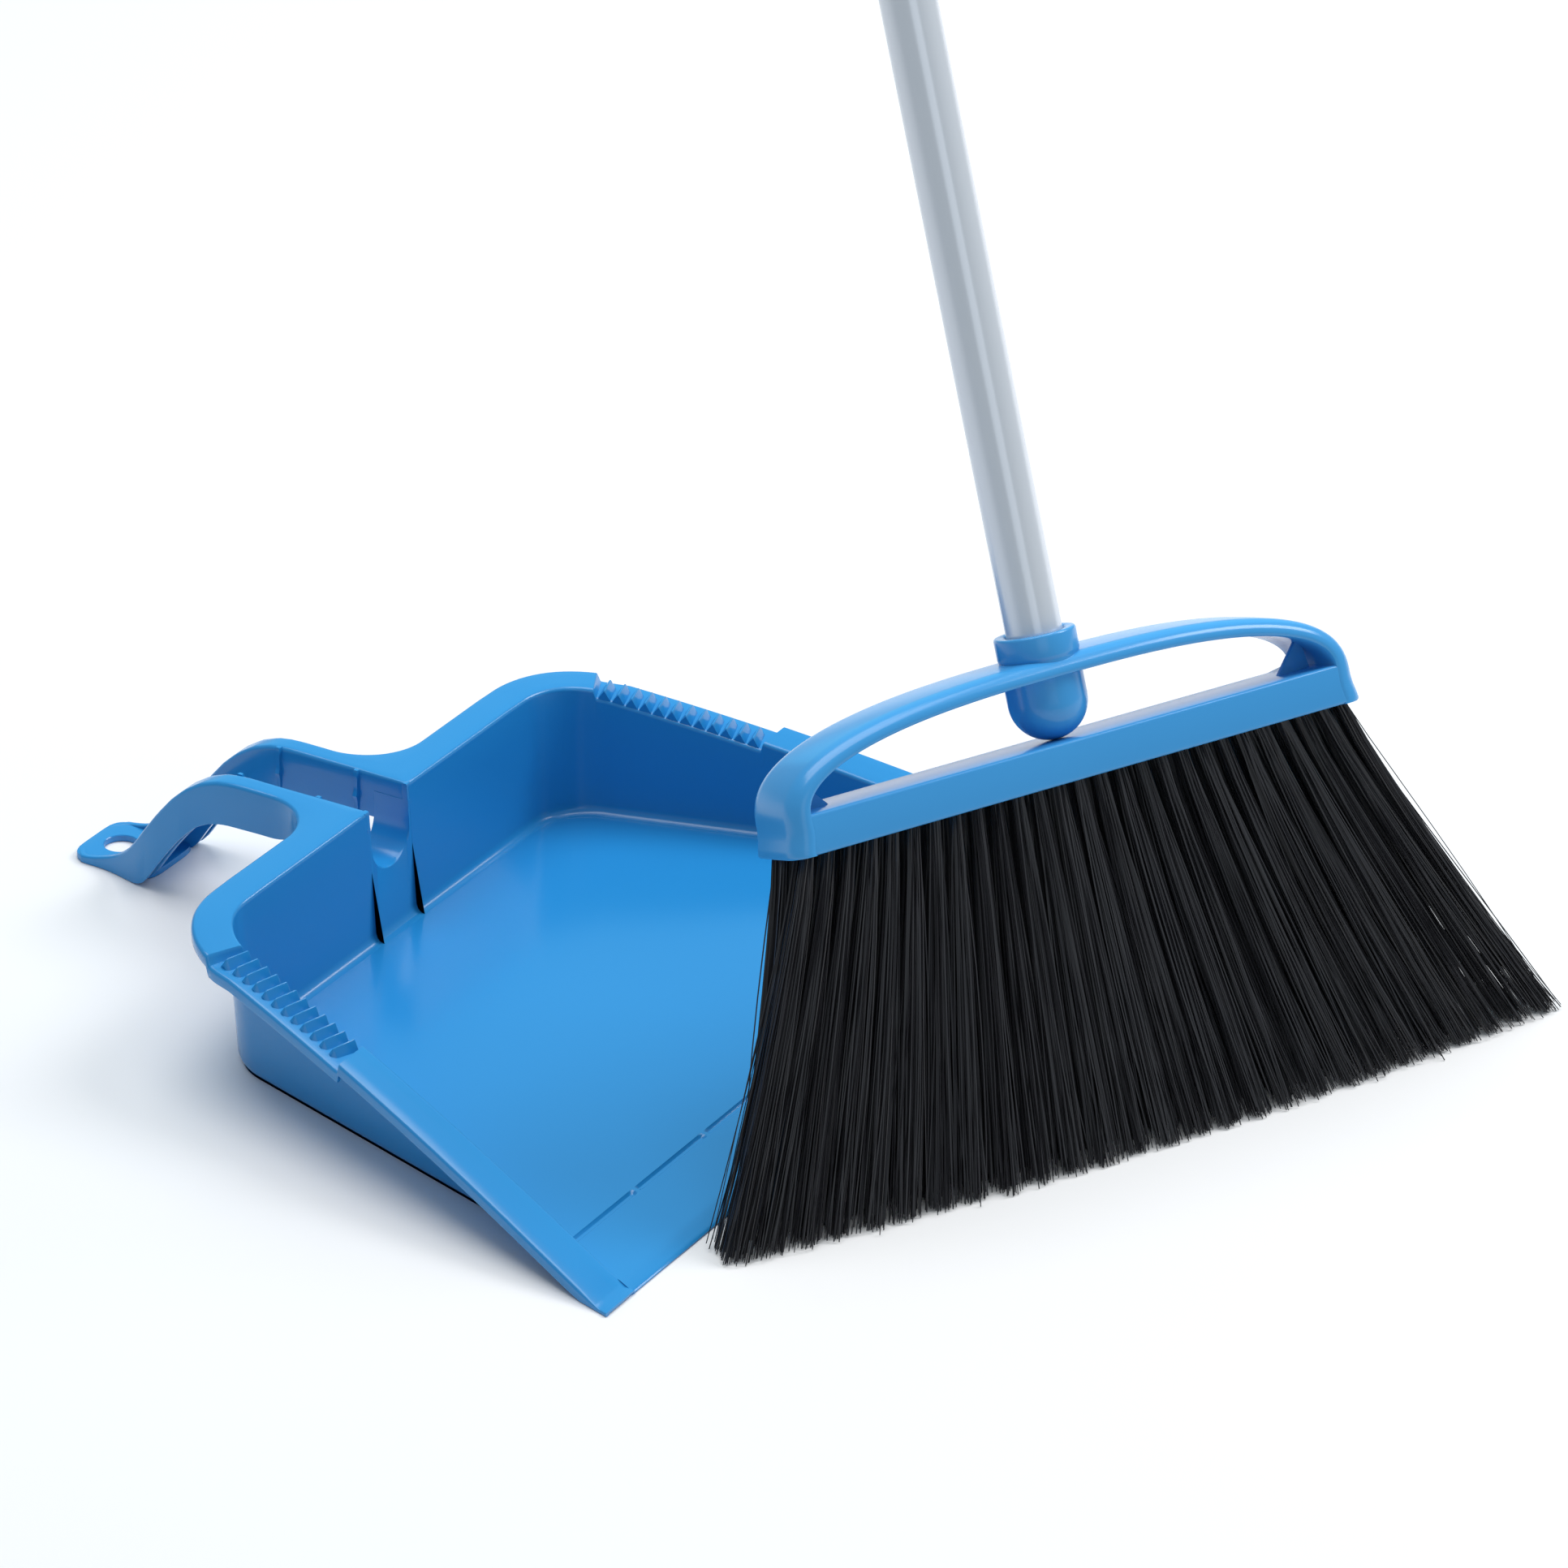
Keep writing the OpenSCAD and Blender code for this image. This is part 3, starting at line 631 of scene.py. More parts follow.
def floor_sheet(plan):
    """The floor as one closed sheet: across from edge to edge, and from the rear along the top, over the
    bevelled lip and back underneath. Its top sinks in a line of round-ended slots behind the lip."""
    s = plan.s
    t = plan.floor_t
    # the slots' distance from the lip, their spacing, half length, half width, depth and number
    groove, step, half_l, half_w, depth, slots = 33.0, 44.0, 19.5, 1.2, 0.9, 7
    # how far the sheet's edge reaches into the walls
    tuck = 0.8
    rear = plan.cy + s.corner + tuck
    shoulder = half_w + 0.35
    y_top = np.concatenate([np.linspace(rear, plan.cy, 14), np.linspace(plan.cy - 8, 42, 14), [38, 35.5],
                            [groove + shoulder, groove + half_w, groove + 0.5 * half_w, groove,
                             groove - 0.5 * half_w, groove - half_w, groove - shoulder],
                            [30, 26, 20, 14, 9]])
    lip = [(8.0, t), (7.0, t - 0.03), (6.0, t - 0.15), (4.0, t - 0.62), (2.0, t - 1.12), (0.9, 1.12),
           (0.3, 0.92), (0.0, 0.6), (0.0, 0.35), (0.25, 0.1), (0.7, 0.0)]
    under = np.concatenate([[12, 60, 120, plan.cy], np.linspace(plan.cy, rear, 14)[1:]])
    y = np.concatenate([y_top, [p[0] for p in lip], under])
    z = np.concatenate([np.full(len(y_top), t), [p[1] for p in lip], np.zeros(len(under))])
    across = np.linspace(-1, 1, FLOOR_COLUMNS)
    sf, cf = math.sin(plan.flare), math.cos(plan.flare)
    reach = s.corner + tuck
    dy = np.clip((y - plan.cy) / reach, 0, 1)
    edge_straight = s.floor_half - y * sf / cf + tuck / cf
    on_arc = y > plan.cy + reach * sf
    half = np.where(on_arc, plan.cx + reach * np.sqrt(np.maximum(0, 1 - dy * dy)), edge_straight)
    x = half[:, None] * across[None, :]
    yy = np.broadcast_to(y[:, None], x.shape)
    zz = np.broadcast_to(z[:, None], x.shape).copy()
    # distance outside the nearest slot's stadium outline
    local = np.abs((x + step / 2) % step - step / 2)
    gap = np.hypot(np.maximum(local - half_l, 0), yy - groove) - half_w
    in_row = (zz == t) & (np.abs(x) < slots / 2 * step) & (np.abs(yy - groove) < 3)
    zz -= np.where(in_row, depth * smooth(0.5 - gap / 0.7), 0)
    n, m = x.shape
    return np.stack([x, yy, zz], -1).reshape(-1, 3), [grid(n, m, close_u=True)]


def floor_edges(n, m):
    """Two end faces that close the floor sheet at both sides."""
    left = [i * m for i in range(n)]
    return [left, [i * m + m - 1 for i in range(n)]]


def notch_wall(plan):
    """The rear wall under the notch: a closed band whose top follows the half circle of the notch."""
    s = plan.s
    r = plan.notch_r
    x = r * np.sin(np.linspace(-np.pi / 2, np.pi / 2, 33))
    top = plan.notch_z - np.sqrt(np.maximum(0, r * r - x * x))
    # how far the band reaches behind the side walls' ends, and how far its face lies behind theirs
    overlap, behind = 2.4, 0.05
    x = np.concatenate([[-r - overlap, -r - 0.03], x, [r + 0.03, r + overlap]])
    high = s.rim_height - 0.1
    top = np.concatenate([[high, high], top, [high, high]])
    lean = s.draft / s.rim_height
    y0, e, t = s.floor_length + behind, 0.6, plan.floor_t
    sections = []
    for xi, h in zip(x, top):
        front = y0 + lean * h
        pts = [(y0 - 3.5, t), (y0 - 1.4, t + 0.5), (y0 - 0.4, t + 1.6), (y0 + lean * 6, t + 3.6),
               (y0 + lean * (h - e), h - e), (front + 0.2, h - 0.15), (front + e, h),
               (front + s.wall - e, h), (front + s.wall - 0.2, h - 0.15), (front + s.wall, h - e),
               (y0 + s.wall, 4.0), (y0 + s.wall - 1.2, 1.1), (y0 + s.wall - 4, 0.0), (y0 - 3.5, 0.0)]
        sections.append([(xi, py, pz) for py, pz in pts])
    return closed_loft(np.array(sections))


def trough(plan):
    """Half-round trough behind the notch: a U-shaped strip of wall thickness carried backwards, its rear edge
    rounded."""
    s = plan.s
    r, c = plan.notch_r, plan.notch_z
    t = np.linspace(-np.pi, 0, 29)
    ring = lambda rad: np.concatenate([[(-rad, c + 8)], np.stack([rad * np.cos(t), c + rad * np.sin(t)], -1),
                                       [(rad, c + 8)]])
    y0, y1 = s.floor_length + s.wall, s.floor_length + s.rim_width
    stops = [(y0, 0), (y1 - 0.6, 0), (y1 - 0.15, 0.15), (y1, 0.6), (y1, s.wall - 0.6),
             (y1 - 0.15, s.wall - 0.15), (y1 - 0.6, s.wall), (y0, s.wall)]
    p = np.array([[(x, y, z) for x, z in ring(r + k)] for y, k in stops]).transpose(1, 0, 2)
    return closed_loft(p)


def leg_web(plan):
    """Curved web that joins the two rails behind the lower leg: a strip of even thickness under the top
    curve."""
    y = np.linspace(plan.leg_y - 36, plan.leg_y - 4, 20)
    top = plan.leg(y, LEG_TOP)
    slope = np.gradient(top, y)
    ny, nz = slope / np.hypot(1, slope), -1 / np.hypot(1, slope)
    # the web's half width, its two faces' depths under the curve, and the height it starts at
    half, near, far, start_z = 12.6, 1.5, 3.9, 30.0
    ring = [(-half, near), (half, near), (half, far), (-half, far)]
    sections = []
    for yi, zi, a, b in zip(y, top, ny, nz):
        if zi > start_z:
            continue
        sections.append([(x, yi + a * k, max(zi + b * k, 0.05)) for x, k in ring])
    return closed_loft(np.array(sections))


def foot_plate(plan):
    """Flat foot with a hanging hole: rings that go from the hole's edge to a rounded rectangle, over its
    edge and back underneath."""
    t, hole, hy = 2.6, 6.2, plan.foot_y - 12
    a = np.linspace(0, 2 * np.pi, 96, endpoint=False)
    y0, y1, half = plan.leg_y - 15, plan.foot_y, 15.5
    cy, hh = (y0 + y1) / 2, (y1 - y0) / 2

    def outline(inset):
        """A rectangle rounded as a superellipse of power 5."""
        p = 5.0
        c, s_ = np.cos(a), np.sin(a)
        k = (np.abs(c / (half - inset)) ** p + np.abs(s_ / (hh - inset)) ** p) ** (-1 / p)
        return np.stack([k * c, cy + k * s_], -1)

    def circle(rad):
        """The hole's outline, or one round it."""
        return np.stack([rad * np.cos(a), hy + rad * np.sin(a)], -1)

    e = 0.6
    rings = [(circle(hole), 0.3), (circle(hole), t - 0.3), (circle(hole + 0.3), t), (outline(4), t),
             (outline(e), t), (outline(0.15), t - 0.15), (outline(0), t - e), (outline(0), 0.4),
             (outline(0.3), 0.05), (outline(0.8), 0.0), (circle(hole + 0.3), 0.0)]
    p = np.array([np.column_stack([q, np.full(len(q), z)]) for q, z in rings])
    return p.reshape(-1, 3), [grid(len(rings), len(a), close_u=True, close_v=True)]


def comb(plan, side):
    """One side's comb: a row of three-sided ridges across the sunk rim, each rising to a blunt edge and
    falling away at its outer end."""
    s = plan.s
    pitch = plan.comb_length / s.teeth
    blocks, faces, start = [], [], 0
    for i in range(s.teeth):
        mid = plan.comb_0 + (i + 0.5) * pitch
        kind, value = ("side", mid) if mid < plan.side_end() else (
            "arc", math.asin((mid - plan.cy) / s.corner))
        b, n = plan.base(kind, value)
        along = np.array([-n[1], n[0]])
        base_z = float(plan.rim_top(b[1])) - plan.drop
        tilt = float(plan.rim_top(b[1] + 1) - plan.rim_top(b[1] - 1)) / 2
        hw, high = 0.5 * pitch, plan.drop + 0.35
        # a ridge's outline along the rim, and its share of full height at distances across the rim
        v = [(-0.97 * hw, -1.0), (-0.97 * hw, 0.0), (-0.2 * hw, 0.84 * high), (-0.1 * hw, 0.97 * high),
             (0, high), (0.1 * hw, 0.97 * high), (0.2 * hw, 0.84 * high), (0.97 * hw, 0.0),
             (0.97 * hw, -1.0)]
        cuts = [(s.draft + 0.15, 0.90), (s.draft + 0.5, 1.0), (7.0, 1.0), (11.6, 1.0), (12.3, 0.90),
                (13.4, 0.35)]
        sec = []
        for a, k in cuts:
            sec.append([(*(b + n * a + along * w * (1 if k == 1 else 0.5 + 0.5 * k)),
                         base_z + tilt * w + (q if q < 0 else q * k)) for w, q in v])
        p = np.array(sec)
        p[..., 0] *= side
        n_p, m_p = p.shape[:2]
        blocks.append(p.reshape(-1, 3))
        faces.append(grid(n_p, m_p, close_v=True) + start)
        faces.append([[start + j for j in range(m_p)], [start + (n_p - 1) * m_p + j for j in range(m_p)]])
        start += n_p * m_p
    return np.concatenate(blocks), faces


def clip_rib(plan, side, y):
    """A rib that stands in the channel: a thin upright wedge with a rounded bump near its top."""
    h = plan.s.rim_height
    # heights, how far the rib stands out there, and its half width
    z = np.array([h - 18.5, h - 16, h - 12.2, h - 11, h - 10, h - 9, h - 8, h - 6, h - 3, h - 0.8, h - 0.1])
    out = np.array([0.05, 0.5, 1.0, 1.5, 1.9, 1.5, 1.1, 1.1, 1.2, 1.2, 0.8])
    w = np.array([0.4, 0.8, 1.0, 1.2, 1.3, 1.2, 1.0, 1.05, 1.15, 1.2, 1.0])
    x_in = plan.channel + 0.5
    ring = [(0, -1), (1, -0.7), (1, 0.7), (0, 1)]
    p = np.array([[(side * (x_in - (0.5 + o) * a), y + b * wi, zi) for a, b in ring]
                  for zi, o, wi in zip(z, out, w)])
    return closed_loft(p)


def to_row(points):
    """Points measured from the lip moved to the row frame."""
    p = np.asarray(points, float).reshape(-1, 3).copy()
    p[:, 1] += LIP_Y
    return p


class SWEEP_OT_pan(bpy.types.Operator):
    """Build the pan's wall, rim and handle as one lofted surface for each half, with its floor"""
    bl_idname = "sweep.pan"
    bl_label = "Pan"

    def execute(self, context):
        plan = PanPlan(context.scene.sweep_pan)
        half = pan_half(plan)
        plastic = material("pan_plastic")
        for side, name in ((1, "right"), (-1, "left")):
            p = half * (side, 1, 1)
            pts, faces = closed_loft(p)
            new_piece(f"pan_side_{name}", to_row(pts), faces, plastic, "pan", 32,
                      ["pan_body"] if side == 1 else (), 0.004)
        pts, faces = floor_sheet(plan)
        ends = floor_edges(len(pts) // FLOOR_COLUMNS, FLOOR_COLUMNS)
        new_piece("pan_floor", to_row(pts), faces + [ends], plastic, "pan", 30)
        for name, (pts, faces) in (("pan_notch_wall", notch_wall(plan)), ("pan_trough", trough(plan)),
                                   ("handle_web", leg_web(plan)), ("handle_foot", foot_plate(plan))):
            new_piece(name, to_row(pts), faces, plastic, "pan", 34, (), 0.002)
        return {"FINISHED"}


# where the clip ribs stand: shares of the way from the rear wall to the leg's foot
CLIP_RIBS = (0.207, 0.505)


class SWEEP_OT_pan_details(bpy.types.Operator):
    """Build the comb teeth on both side rims and the clip ribs in the handle's channel"""
    bl_idname = "sweep.pan_details"
    bl_label = "Pan details"

    def execute(self, context):
        plan = PanPlan(context.scene.sweep_pan)
        plastic = material("pan_plastic")
        for side, name in ((1, "right"), (-1, "left")):
            pts, faces = comb(plan, side)
            new_piece(f"comb_{name}", to_row(pts), faces, plastic, "pan", 28)
            for k, u in enumerate(CLIP_RIBS):
                y = plan.s.floor_length + u * (plan.leg_y - plan.s.floor_length) + 0.9
                pts, faces = clip_rib(plan, side, y)
                new_piece(f"clip_rib_{name}_{k + 1}", to_row(pts), faces, plastic, "pan", 40)
        return {"FINISHED"}


# ---------------------------------------------------------------- broom head

def broom_loft(name, sections, sharp=35, merge=0.0, replaces=()):
    """A closed loft given in the broom's own frame, in the head's plastic."""
    p = np.asarray(sections, float)
    pts, faces = closed_loft(broom_point(p[..., 0], p[..., 1], p[..., 2]))
    return new_piece(name, pts, faces, material("head_plastic"), "broom", sharp, replaces,
                     merge)


def bar_sections(half, depth, z0, height):
    """Cross-sections of the base bar along its length: a rounded rectangle that shrinks a little and rounds
    off at both ends."""
    x = np.array([0.0, 0.25, 0.8, 1.8, 3.2, 5, 8, 14, 30, 60, 90])
    x = np.concatenate([x, 2 * half - x[::-1]]) - half
    out = []
    for xi in x:
        near = half - abs(xi)
        k = 1 - math.sqrt(max(0.0, 1 - min(1, near / 3.0 - 1) ** 2)) if near < 3 else 0.0
        hy = depth / 2 - 2.2 * k
        ring = rounded_box_profile(hy, z0 + 0.5 * k, z0 + height - 0.2 - 1.2 * k, 1.1, 5)
        # the step along the rear half of the bar's top
        zt = ring[:, 1] - 1.0 * ((ring[:, 0] > 1.0) & (ring[:, 1] > z0 + height / 2)) * (abs(xi) < half - 12)
        out.append(np.column_stack([np.full(len(ring), xi), ring[:, 0], zt]))
    return np.array(out)


def arch_sections(half, depth, z0, arch_h, band=6.2):
    """Cross-sections of the arch, carried along a squared half ellipse whose ends run straight down, flaring
    a little, to the bar's underside. Each is a flat band across the head's depth, crowned outside, with a
    rounded inner edge."""
    t = np.radians(np.concatenate([np.linspace(0, 12, 6), np.linspace(16, 74, 24), np.linspace(78, 90, 6)]))
    c, s = np.cos(t), np.sin(t)
    p = 2.7
    spring = 9.0
    ox = (half - 1.6) * c ** (2 / p)
    oz = spring + (arch_h - spring) * s ** (2 / p)
    drop = np.array([0.0, 0.35, 1.0, 3.0, 6.0])
    ox = np.concatenate([half - 1.6 * smooth(drop / spring) - np.array([0.45, 0.12, 0, 0, 0]), ox])
    oz = np.concatenate([drop, oz])
    ox, oz = np.concatenate([ox, -ox[-2::-1]]), np.concatenate([oz, oz[-2::-1]])
    dx, dz = np.gradient(ox), np.gradient(oz)
    dx[:5], dz[:5], dx[-5:], dz[-5:] = 0, 1, 0, -1
    n = np.hypot(dx, dz)
    nx, nz = dz / n, -dx / n
    hy = depth / 2
    q = np.linspace(0, np.pi / 2, 8)
    r = 7.0
    top = [(hy - r + r * math.sin(k), -(r - r * math.cos(k)) * 0.66) for k in q]
    e = 1.0
    ring = top + [(hy, -band + e), (hy - 0.3 * e, -band + 0.3 * e), (hy - e, -band), (0, -band + 0.15)]
    ring = ring + [(-y, d) for y, d in reversed(ring[:-1])]
    ring.insert(0, (0, 0.12))
    ring = np.array(ring)
    thick = 1 + 0.35 * smooth(1 - oz / 34)
    x = ox[:, None] + nx[:, None] * ring[None, :, 1] * thick[:, None]
    z = z0 + oz[:, None] + nz[:, None] * ring[None, :, 1] * thick[:, None]
    y = np.broadcast_to(ring[None, :, 0], x.shape)
    return np.stack([x, y, z], -1)


class SWEEP_OT_head(bpy.types.Operator):
    """Build the broom head: its base bar, arch, pole socket with collar, and end gussets"""
    bl_idname = "sweep.head"
    bl_label = "Broom head"

    def execute(self, context):
        s = context.scene.sweep_broom
        half, depth, z0 = float(HEAD_HIGH[0]), float(HEAD_HIGH[1] - HEAD_LOW[1]), float(HEAD_LOW[2])
        end_thick, play = 4.5, 0.5
        bar = bar_sections(half - end_thick, depth - play, z0, s.bar_height)
        broom_loft("head_bar", bar, 30, 0, ["broom_head"])
        broom_loft("head_arch", arch_sections(half, depth, z0, s.arch_height), 40)
        self.socket(s, z0)
        for side, name in ((1, "right"), (-1, "left")):
            self.gusset(s, half, z0, side, name)
        return {"FINISHED"}

    def socket(self, s, z0):
        """The pole's socket is turned: a thimble dome, a plain barrel and a slightly wider collar, open at the
        top round the pole."""
        pole_r = float(POLE_HIGH[0])
        wall, collar, hole_depth = 3.95, 0.45, 7.6
        r = pole_r + wall
        top = float(HEAD_HIGH[2]) - z0
        dome = s.bar_height + r - 0.7
        a = np.linspace(-np.pi / 2, 0, 14)
        prof = [(0.01, dome - r)] + [(r * math.cos(k), dome + r * math.sin(k)) for k in a[1:]]
        prof += [(r, s.arch_height - 0.6), (r + 0.05, s.arch_height), (r + 0.3, s.arch_height + 0.5),
                 (r + collar, s.arch_height + 1.2), (r + collar, top - 0.9), (r + 0.3, top - 0.35),
                 (r, top - 0.08), (r - 0.5, top), (pole_r + 1.3, top), (pole_r + 0.8, top - 0.25),
                 (pole_r + 0.5, top - 0.9), (pole_r + 0.4, top - 2), (pole_r + 0.4, top - hole_depth),
                 (pole_r - 1.0, top - hole_depth - 0.1), (0.01, top - hole_depth - 0.1)]
        q = lathe(prof, 72)
        pts = broom_point(q[..., 0], q[..., 1], q[..., 2] + z0).reshape(-1, 3)
        new_piece("head_socket", pts, [grid(len(prof), 72, close_v=True)], material("head_plastic"), "broom",
                  40, (), 0.03)

    def gusset(self, s, half, z0, side, name):
        """A thin four-sided rib that leans against the arch's end, its edges drawn in a little."""
        outline = [(half - 24, s.bar_height - 1), (half - 11, s.bar_height - 1),
                   (half - 13, s.bar_height + 10), (half - 14.5, s.bar_height + 9.6)]
        c = np.mean(outline, 0)
        ring = []
        for y, inset in ((-1.0, 0.35), (-0.8, 0.0), (0.8, 0.0), (1.0, 0.35)):
            ring.append([(side * (x + (c[0] - x) * inset * 0.06), y, z0 + z + (c[1] - z) * inset * 0.06)
                         for x, z in outline])
        broom_loft(f"head_gusset_{name}", np.array(ring), 40)


# ---------------------------------------------------------------- bristles

# the four rows from front to rear: the node each replaces, and its distance from the head's middle line, mm
ROWS = (("tufts_front_outer", -10.4), ("tufts_front_inner", -5.2), ("tufts_rear_inner", 5.2),
        ("tufts_rear_outer", 10.4))
TUFT_ROOT = 2.05
TIPS_FRONT, TIPS_REAR = -24.5, 21.0


def filaments(row_y, s, seed, side_limit):
    """One row of tufts as three-sided filaments. Each filament starts in its tuft's hole, runs in a slightly
    bent line to its own place among the spread tips, and ends near the floor, with random length and lean."""
    rng = np.random.default_rng(seed)
    free = float(HEAD_LOW[2])
    n = s.tufts * s.filaments
    tuft = np.repeat(np.arange(s.tufts), s.filaments)
    x0 = (tuft - (s.tufts - 1) / 2) * s.pitch
    rad, ang = TUFT_ROOT * np.sqrt(rng.random(n)), rng.random(n) * 2 * np.pi
    rx, ry = x0 + rad * np.cos(ang), row_y + rad * np.sin(ang)
    side = x0 / ((s.tufts - 1) / 2 * s.pitch)
    deep = 1 + 1.05 * (1 - 0.75 * side ** 2)
    tx = x0 * (s.fan if row_y < 0 else s.rear_fan) + (rad * np.cos(ang)) * 1.9 + rng.normal(0, 2.2, n)
    ty = row_y * deep + (rad * np.sin(ang)) * 1.4 + rng.normal(0, 1.4, n)
    wild = rng.random(n) < 0.05
    tx += np.where(wild, rng.normal(0, 4.0, n), 0)
    tx = np.clip(tx, -side_limit, side_limit)
    ty = np.clip(ty, TIPS_FRONT, TIPS_REAR)
    # straight direction from root to tip, cut where it comes to the floor
    short = np.abs(rng.normal(0, 1.0, n)) + np.where(rng.random(n) < 0.10, rng.random(n) * 5, 0)
    floor_z = ty * math.tan(LEAN) + 0.25 + short
    k = np.linspace(0, 1, 8)
    bend = rng.normal(0, 1.1, (2, n))
    droop = (k * (1 - k) * 4)[None, :]
    ease = k[None, :] ** 1.12
    root_z = free + 4.0
    px = rx[:, None] + (tx - rx)[:, None] * ease + bend[0][:, None] * droop
    py = ry[:, None] + (ty - ry)[:, None] * ease + bend[1][:, None] * droop * 0.6
    pz = root_z + (floor_z - root_z)[:, None] * k[None, :]
    r = s.filament_radius * (0.8 + 0.4 * rng.random(n))[:, None] * (1 - 0.25 * k[None, :])
    a = rng.random(n)[:, None, None] * 2 * np.pi + np.arange(3)[None, None, :] * 2 * np.pi / 3
    x = px[..., None] + r[..., None] * np.cos(a)
    y = py[..., None] + r[..., None] * np.sin(a)
    z = np.broadcast_to(pz[..., None], x.shape)
    pts = broom_point(x, y, z).reshape(-1, 3)
    pts[:, 2] = np.maximum(pts[:, 2], 0.12)
    one = grid(len(k), 3, close_v=True)
    m = len(k) * 3
    starts = (np.arange(n) * m)[:, None, None]
    quads = (one[None] + starts).reshape(-1, 4)
    ends = (np.array([[0, 1, 2], [m - 3, m - 2, m - 1]])[None] + starts).reshape(-1, 3)
    return pts, [quads, ends], np.repeat(rng.random(n), m)


class SWEEP_OT_bristles(bpy.types.Operator):
    """Build the four rows of tufts out of single filaments"""
    bl_idname = "sweep.bristles"
    bl_label = "Bristles"

    def execute(self, context):
        s = context.scene.sweep_broom
        first_seed, side_play = 41, 3
        for k, (name, y) in enumerate(ROWS):
            side_limit = float(node_in_broom(name)[1][0]) + side_play
            pts, faces, shade = filaments(y, s, first_seed + k, side_limit)
            piece = new_piece(name.replace("tufts", "bristles"), pts, faces, material("bristle"), "broom",
                              80, [name])
            # each filament's random value, which sets its roughness and its painted highlight
            layer = piece.data.attributes.new("filament", "FLOAT", "POINT")
            layer.data.foreach_set("value", shade.astype(np.float32))
        return {"FINISHED"}


class SWEEP_OT_blade(bpy.types.Operator):
    """Build the flexible blade between the rows, slit into fingers, and finish the wire anchors"""
    bl_idname = "sweep.blade"
    bl_label = "Blade and anchors"

    def execute(self, context):
        lo, hi = BLADE_LOW, BLADE_HIGH
        # the slits' width and spacing, and the height of the uncut band along the blade's top
        slit, pitch, band = 1.5, 15.9, 9.8
        half = float(hi[0])
        slits = np.arange(-6, 7)[:, None] * pitch + (-slit / 2, slit / 2)
        edges = np.concatenate([[-half], slits.ravel(), [half]])
        z_low, z_root, z_top = float(lo[2]), float(hi[2]) - band, float(hi[2])
        blocks, faces, start = [], [], 0
        t = (hi[1] - lo[1]) / 2
        for a, b in edges.reshape(-1, 2):
            z = np.concatenate([[0, 0.4, 1.2, 2.5], np.linspace(8, z_root - z_low, 8)]) + z_low
            cut = np.array([1.6, 0.7, 0.25, 0.0] + [0.0] * 8)
            wave = 0.5 * np.sin((a + b) * 0.11) * (1 - (z - z_low) / (z_root - z_low))
            sec = []
            for zi, c, w in zip(z, cut, wave):
                x0, x1 = a + c, b - c
                sec.append([(x0 + 0.3, w - t, zi), (x0, w, zi), (x0 + 0.3, w + t, zi),
                            (x1 - 0.3, w + t, zi), (x1, w, zi), (x1 - 0.3, w - t, zi)])
            p = np.array(sec)
            n, m = p.shape[:2]
            blocks.append(p.reshape(-1, 3))
            faces += [grid(n, m, close_v=True) + start,
                      [[start + j for j in range(m)], [start + (n - 1) * m + j for j in range(m)]]]
            start += n * m
        ring = [(-half, z_root - 0.2), (half, z_root - 0.2), (half, z_top), (-half, z_top)]
        p = np.array([[(x, y, z) for x, z in ring] for y in (-t + 0.01, t - 0.01)])
        blocks.append(p.reshape(-1, 3))
        faces += [grid(2, 4, close_v=True) + start,
                  [[start + j for j in range(4)], [start + 4 + j for j in range(4)]]]
        p = np.concatenate(blocks)
        new_piece("blade", broom_point(p[:, 0], p[:, 1], p[:, 2]), faces, material("blade_rubber"), "broom",
                  40, ["wiper_blade"])
        dress("tuft_anchors", "anchor_wire")
        return {"FINISHED"}


# ---------------------------------------------------------------- pole

def dress(node, name):
    """Gives a CAD node its finish."""
    mesh = frame["nodes"][node].data
    mesh.materials.clear()
    mesh.materials.append(material(name))


